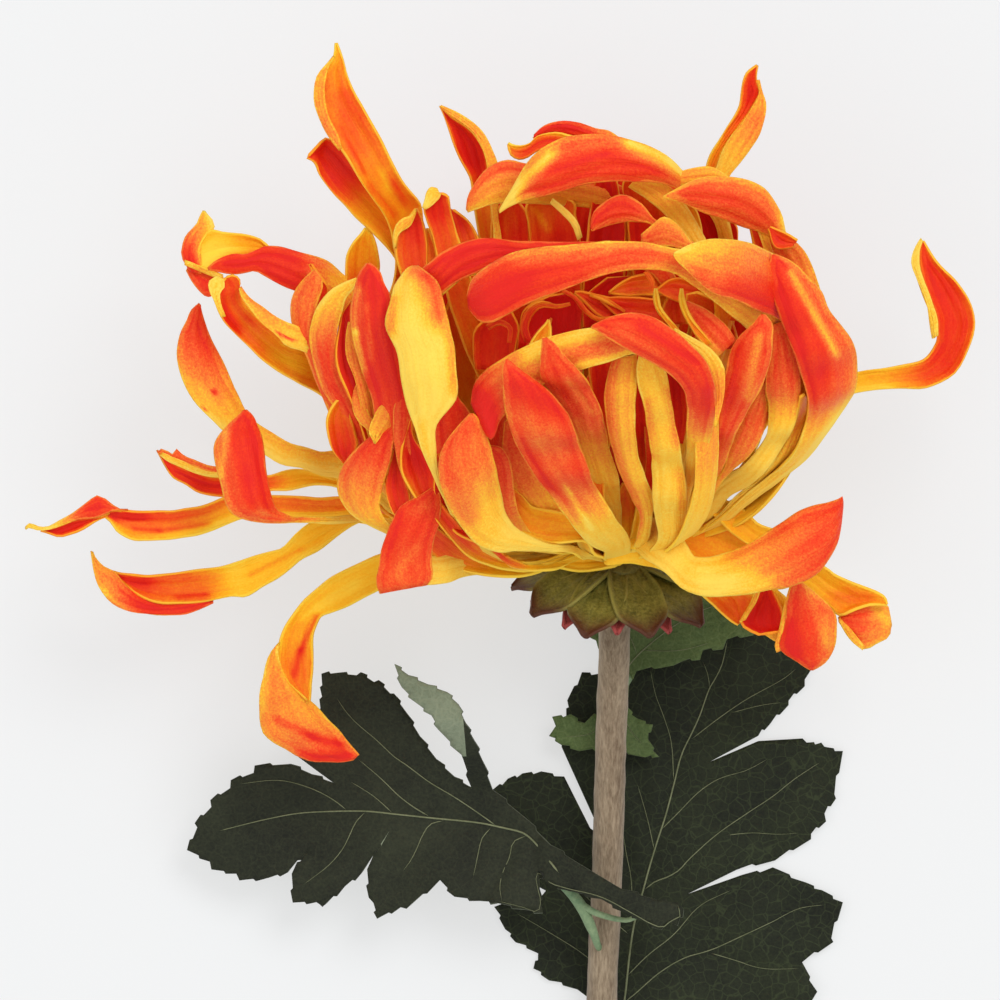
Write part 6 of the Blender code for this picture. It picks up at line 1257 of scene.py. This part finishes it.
# each leaf's veins: the width at the start, then the way it runs
leftVeins = (
    (0.42, (11, -30), (4.9, -22.8), (0, -21.3), (-4.4, -20.4), (-13.3, -19.5), (-20, -18.8), (-26.1, -18.2),
     (-35.9, -18.4), (-40, -18.8), (-46, -20), (-54, -22)),
    (0.2, (-29.5, -18.1), (-33, -15.5), (-38, -13.3), (-43, -12.3), (-50, -13)),
    (0.24, (-13.8, -19.2), (-16.5, -17.6), (-19.5, -15.4), (-23, -12), (-27.5, -8.2)),
    (0.24, (-1, -21), (-4.5, -18.5), (-9, -15.5), (-14, -12.5), (-18, -9.5), (-20.5, -7.8), (-24, -4.5), (-27, -2),
     (-29.5, 0.5), (-31.5, 3.5)),
    (0.18, (-20.8, -18.6), (-24.5, -15.3), (-29, -12.5)),
    (0.2, (-26, -18.3), (-28, -20.5), (-30, -24.8), (-33, -28.5), (-38, -32.3)),
    (0.2, (-11, -20), (-14, -20.9), (-15.2, -23), (-17, -27), (-19, -29.8)),
    (0.2, (-2, -21.3), (-3.8, -23.5), (-4.6, -27), (-5.5, -31)),
    (0.2, (4.9, -22.8), (2.3, -24), (1.5, -27), (-0.3, -31.5), (0.1, -35.5)),
    (0.2, (33.6, -35.9), (34.3, -36.9), (33.4, -39.5), (32, -38.7), (30.5, -40.3), (26.4, -38.4), (19, -34.5),
     (12.2, -32.8), (8.6, -31.4), (6.7, -29), (6.9, -33), (7.5, -37.2), (4.1, -36.5), (-0.7, -35.3)),
)
rightVeins = (
    (0.45, (23, -58), (23.7, -53.5), (24.5, -46), (25.4, -40), (27, -34), (28.5, -28.5), (30.2, -23), (31.5, -19),
     (33.2, -12.5), (34.5, -7.5), (36.7, -2.9), (38, 0), (39.9, 5.3), (42, 9), (43.3, 14.5)),
    (0.18, (33, -12.5), (32.5, -5), (31, 0), (29.5, 4), (28.5, 9)),
    (0.16, (39.9, 5.3), (39.5, 8), (38.5, 10.5)),
    (0.2, (36.5, -4.5), (41, -1), (46, 2.5), (50, 4.8), (54, 7), (56.5, 9)),
    (0.14, (44, 0.5), (50, 2), (54, 2.5)),
    (0.2, (30.5, -22), (34, -18.5), (38, -14.5), (42, -12), (47, -10.5), (51, -8.3)),
    (0.24, (27.3, -33.5), (30, -31.5), (33, -30.5), (36, -27.5), (41, -23), (47, -18.8), (52, -15.5), (56, -12.3),
     (61, -9)),
    (0.14, (43, -23), (48, -22.5), (53, -22.8), (57, -22.5)),
    (0.18, (29.3, -26), (28, -20), (26, -13)),
    (0.18, (25, -35), (24.8, -31), (24, -27), (23.2, -22)),
    (0.22, (24, -50), (28, -46), (33, -42), (38, -36.5), (44, -33.5)),
    (0.24, (23.5, -55), (26, -53), (30, -49.5), (35, -46.5), (40, -45), (46, -42.3), (52, -39.5), (57, -37),
     (62, -36.3)),
    (0.16, (40, -45.5), (45, -47), (50, -48.5), (57, -48.5)),
    (0.18, (24, -56), (32, -57), (40, -60), (48, -62.5)),
    (0.18, (22.5, -52), (16, -46), (9, -41.5), (3, -38)),
    (0.16, (24.4, -42), (17, -35.5), (9, -27), (2, -20)),
)
upperVeins = (
    (0.3, (22.6, 3), (24, 9), (30, 15), (38, 20), (46, 22.5)),
    (0.16, (27, 12.5), (34, 12.5), (40, 14)),
    (0.16, (26, 11.5), (24, 16), (19.5, 18)),
    (0.16, (22.5, 2), (24.5, -2.5), (27.5, -6)),
    (0.16, (21.5, 0), (17, -3.5), (12, -4)),
)

rightRib = ((20.5, -61), (23.7, -53.5), (25.4, -40), (30.4, -23), (36.7, -2.9), (39.9, 5.3), (46.5, 24))
leftRib = ((11, -30), (4.9, -22.8), (-13.3, -19.5), (-26.1, -18.2), (-35.9, -18.4), (-49.4, -21), (-60, -25.5))
upperRib = ((22.6, 4), (30, 15), (46, 23))

rightShape = {"lowest": 0.45, "flat": 9.0, "curl": 0.0012, "swell": 0.5, "swellX": 0.22, "swellY": 0.2,
              "swellFull": 20, "endY": -48, "endOver": 14.0, "endRise": 2.8, "endReach": 26.0, "stemX": 19.0,
              "stemReach": 7.0}


def rightHeight(x, y):
    # a little higher away from its rib, low under the stem, and raised towards its own stalk
    d, _ = offLine(x, y, rightRib)
    lift = rightShape["curl"] * max(d - rightShape["flat"], 0.0) ** 2
    lift += (rightShape["swell"] * math.sin(x * rightShape["swellX"] + 1.0) * math.sin(y * rightShape["swellY"])
             * min(d / rightShape["swellFull"], 1))
    lift = max(lift, 0.0)
    past = rightShape["endY"] - y
    if past > 0:
        lift += rightShape["endRise"] * (past / rightShape["endOver"]) ** 2 * max(1 - d / rightShape["endReach"], 0.0)
    underStem = math.exp(-((x - rightShape["stemX"]) / rightShape["stemReach"]) ** 2)
    return lift * (1 - underStem) + min(lift, 1.0) * underStem + rightShape["lowest"]


leftShape = {"root": 17.45, "fall": 9.0, "rise": 0.1, "swell": 0.6, "swellX": 0.21, "swellY": 0.24,
             "crossingX": 8, "crossingRise": 1.5, "lobe": (-5.6, -13.8), "lobeRise": 0.8, "lobeMost": 10.0,
             "foldX": -7.3, "foldFall": 0.2}


def leftHeight(x, y):
    # falling from the stem to its tip; the lobe that crosses the stem and the folded one stand higher
    d, t = offLine(x, y, leftRib)
    z = leftShape["root"] - leftShape["fall"] * t + leftShape["rise"] * d
    z += leftShape["swell"] * math.sin(x * leftShape["swellX"]) * math.sin(y * leftShape["swellY"])
    if x > leftShape["crossingX"]:
        z += leftShape["crossingRise"]
    lobeX, lobeY = leftShape["lobe"]
    if y > lobeY and x > lobeX - (y - lobeY) * leafShape["lobeSlope"]:
        z += min((y - lobeY) * leftShape["lobeRise"], leftShape["lobeMost"])
        z += min(x - leftShape["foldX"], 0.0) * leftShape["foldFall"]
    return z


upperShape = {"root": 5.65, "climb": 2.2, "rise": 0.04, "swell": 0.3, "swellX": 0.4}


def upperHeight(x, y):
    d, t = offLine(x, y, upperRib)
    swell = upperShape["swell"] * math.sin(x * upperShape["swellX"])
    return upperShape["root"] + upperShape["climb"] * t + upperShape["rise"] * d + swell


leafShape = {"cell": 1.3, "thickness": 0.5, "pillow": 0.4, "pillowReach": 2.2, "tooth": 0.36, "notch": 0.1,
             "toothedEdges": (2.4, 8.5), "veinShare": 0.46, "veinLift": 0.14, "veinSpots": 2.5, "veinSides": 6,
             "veinStep": 1.2, "foldSlope": 0.08, "lobeSlope": 0.72, "cellShift": 0.37, "toothAt": 0.42, "notchAt": 0.5,
             "veinTaper": (1, 0.8, 0.45)}


def toothed(outline):
    # one small tooth on each edge of middling length
    places = []
    shortest, longest = leafShape["toothedEdges"]
    for (ax, ay), (bx, by) in zip(outline, outline[1:] + outline[:1]):
        places.append((ax, ay, 0))
        length = math.hypot(bx - ax, by - ay)
        if shortest < length < longest:
            for t, out in ((leafShape["toothAt"], leafShape["tooth"]), (leafShape["notchAt"], -leafShape["notch"])):
                places.append((ax + (bx - ax) * t - (by - ay) / length * out,
                               ay + (by - ay) * t + (bx - ax) / length * out, 0))
    return places


def cutSheet(bm, place, normal):
    bmesh.ops.bisect_plane(bm, geom=bm.verts[:] + bm.edges[:] + bm.faces[:], dist=1e-4,
                           plane_co=place, plane_no=normal)


def makeBlade(name, outline, veins, heightAt, materials, node, slot, fold):
    # the outline's sheet cut into small cells; fold is the x of the fold's line, and the least y and the least
    # slanting x of the lobe that is folded there, which shows the leaf's underside
    bm = bmesh.new()
    bm.faces.new([bm.verts.new(place) for place in toothed(outline)])
    bmesh.ops.recalc_face_normals(bm, faces=bm.faces)
    if bm.faces[:][0].normal.z < 0:
        bmesh.ops.reverse_faces(bm, faces=bm.faces)
    if fold:
        cutSheet(bm, (fold[0], 0, 0), (1, leafShape["foldSlope"], 0))
    for axis, normal in enumerate(((1, 0, 0), (0, 1, 0))):
        least = min(p[axis] for p in outline)
        most = max(p[axis] for p in outline)
        for k in range(1, int((most - least) / leafShape["cell"]) + 1):
            at = least + (k - leafShape["cellShift"]) * leafShape["cell"]
            cutSheet(bm, (at, at, 0), normal)
    for f in bm.faces:
        x, y, _ = f.calc_center_median()
        if (fold and y > fold[1] and fold[2] < x + leafShape["lobeSlope"] * y
                and x + leafShape["foldSlope"] * y < fold[0]):
            f.material_index = 1
    for v in bm.verts:
        x, y = v.co.x, v.co.y
        gap = min(offLine(x, y, vein[1:])[0] for vein in veins)
        puff = leafShape["pillow"] * (1 - math.exp(-gap / leafShape["pillowReach"]))
        v.co.z = heightAt(x, y) - leafShape["pillow"] * 0.5 + puff
    finishPiece(bm, name, materials, node, slot, leafShape["thickness"])


def makeVeins(name, veins, heightAt, node, slot):
    raised = leafShape["thickness"] / 2 - leafShape["pillow"] * 0.5 + leafShape["veinLift"]
    bm = bmesh.new()
    for width, *places in veins:
        half = width * leafShape["veinShare"]
        line = [(x, y, 0) for x, y in places]
        _, length = curveThrough(line, (0.0,))
        count = max(4, int(length / leafShape["veinSpots"]))
        spots, _ = curveThrough(line, [i / count for i in range(count + 1)])
        lifted = [(p.x, p.y, heightAt(p.x, p.y) + raised) for p in spots]
        radii = [half * share for share in leafShape["veinTaper"]]
        tubeAlong(bm, lifted, radii, leafShape["veinSides"], leafShape["veinStep"])
    finishPiece(bm, name, (veinPale,), node, slot)


for node, slot, outline, veins, heightAt, colour, fold in (
        ("leaf_left", "leaf_dark", leftOutline, leftVeins, leftHeight, leafLeft, (leftShape["foldX"], -7.2, -15.6)),
        ("leaf_right", "leaf_dark", rightOutline, rightVeins, rightHeight, leafDark, None),
        ("leaf_upper", "leaf_light", upperOutline, upperVeins, upperHeight, leafLight, None)):
    makeBlade(node + "_blade", outline, veins, heightAt, (colour, leafUnder, leafRim), node, slot, fold)
    makeVeins(node + "_blade_veins", veins, heightAt, node, slot)
    print("leaf made", node)

# the leaves' stalks, and the thin wing beside the left one: each one's route, then its radii
stalkShape = {"sides": 14, "ringStep": 0.7, "rough": 0.08}
stalks = (
    ("leaf_right_stalk", "leaf_right", "leaf_dark",
     ((20.4, -65.3, 5.4), (22.0, -64.9, 4.2), (23.4, -64.4, 3.3), (24.3, -61.0, 2.5), (24.5, -56.0, 2.0)), (1.6, 1.0)),
    ("leaf_left_stalk", "leaf_left", "leaf_dark",
     ((18.8, -44.7, 9.8), (18.3, -43.6, 12.2), (17.4, -41.0, 13.6), (15.2, -36.4, 15.2), (12.3, -32.8, 16.2),
      (8.5, -29.5, 16.6)), (0.6, 1.1, 0.8)),
    ("leaf_left_wing", "leaf_left", "leaf_dark",
     ((14.6, -35.6, 15.4), (18.0, -37.6, 15.6), (23.7, -39.0, 15.6), (26.4, -38.0, 15.8)), (0.7, 0.45)),
    ("leaf_upper_stalk", "leaf_upper", "leaf_light",
     ((21.2, -2.2, 11.0), (21.3, -0.4, 8.4), (22.2, 4.0, 7.2), (24.5, 8.0, 6.4)), (1.6, 1.0)),
)
for name, node, slot, route, radii in stalks:
    bm = bmesh.new()
    tubeAlong(bm, route, radii, stalkShape["sides"], stalkShape["ringStep"], stalkShape["rough"])
    finishPiece(bm, name, (stalkGreen,), node, slot)
print("stalks made")

# metres from here on; the floor glows a little, as a lit table does
studio = {"floor": srgb(146, 148, 149), "floorHalf": 2.5, "glow": 0.55, "sky": 0.9, "distance": 5.0, "across": 0.19,
          "aim": (-0.0003, 0.0413), "cameraLift": 0.045, "sensor": 36.0, "farthest": 50.0, "lit": (0, 0.04, 0.03),
          "lamps": (("key", (0.55, 0.75, 1.5), 0.9, 11.0), ("fill", (-0.9, -0.3, 1.2), 1.2, 2.0))}


def makeStudio():
    white = (1.0, 1.0, 1.0, 1.0)
    scene = bpy.context.scene

    def place(name, data):
        made = bpy.data.objects.new(name, data)
        scene.collection.objects.link(made)
        return made

    bm = bmesh.new()
    bmesh.ops.create_grid(bm, x_segments=2, y_segments=2, size=studio["floorHalf"])
    mesh = bpy.data.meshes.new("floor")
    bm.to_mesh(mesh)
    bm.free()
    paper, tree, shader = newMaterial("floorPaper")
    feed(tree, shader, {"Base Color": studio["floor"], "Roughness": 0.9, "Specular IOR Level": 0.0,
                        "Emission Color": white, "Emission Strength": studio["glow"]})
    mesh.materials.append(paper)
    place("floor", mesh)
    world = bpy.data.worlds.new("studio")
    scene.world = world
    world.use_nodes = True
    feed(world.node_tree, world.node_tree.nodes["Background"], {"Color": white, "Strength": studio["sky"]})
    for name, where, size, power in studio["lamps"]:
        light = bpy.data.lights.new(name, "AREA")
        light.shape = "DISK"
        light.size = size
        light.energy = power
        lamp = place(name, light)
        lamp.location = where
        lamp.rotation_euler = (Vector(studio["lit"]) - Vector(where)).to_track_quat("-Z", "Y").to_euler()
    lens = bpy.data.cameras.new("camera")
    lens.sensor_width = studio["sensor"]
    lens.lens = studio["sensor"] * studio["distance"] / studio["across"]
    lens.clip_end = studio["farthest"]
    scene.camera = place("camera", lens)
    scene.camera.location = (*studio["aim"], studio["distance"] + studio["cameraLift"])
    scene.view_settings.view_transform = "Standard"


makeStudio()
print("studio made")
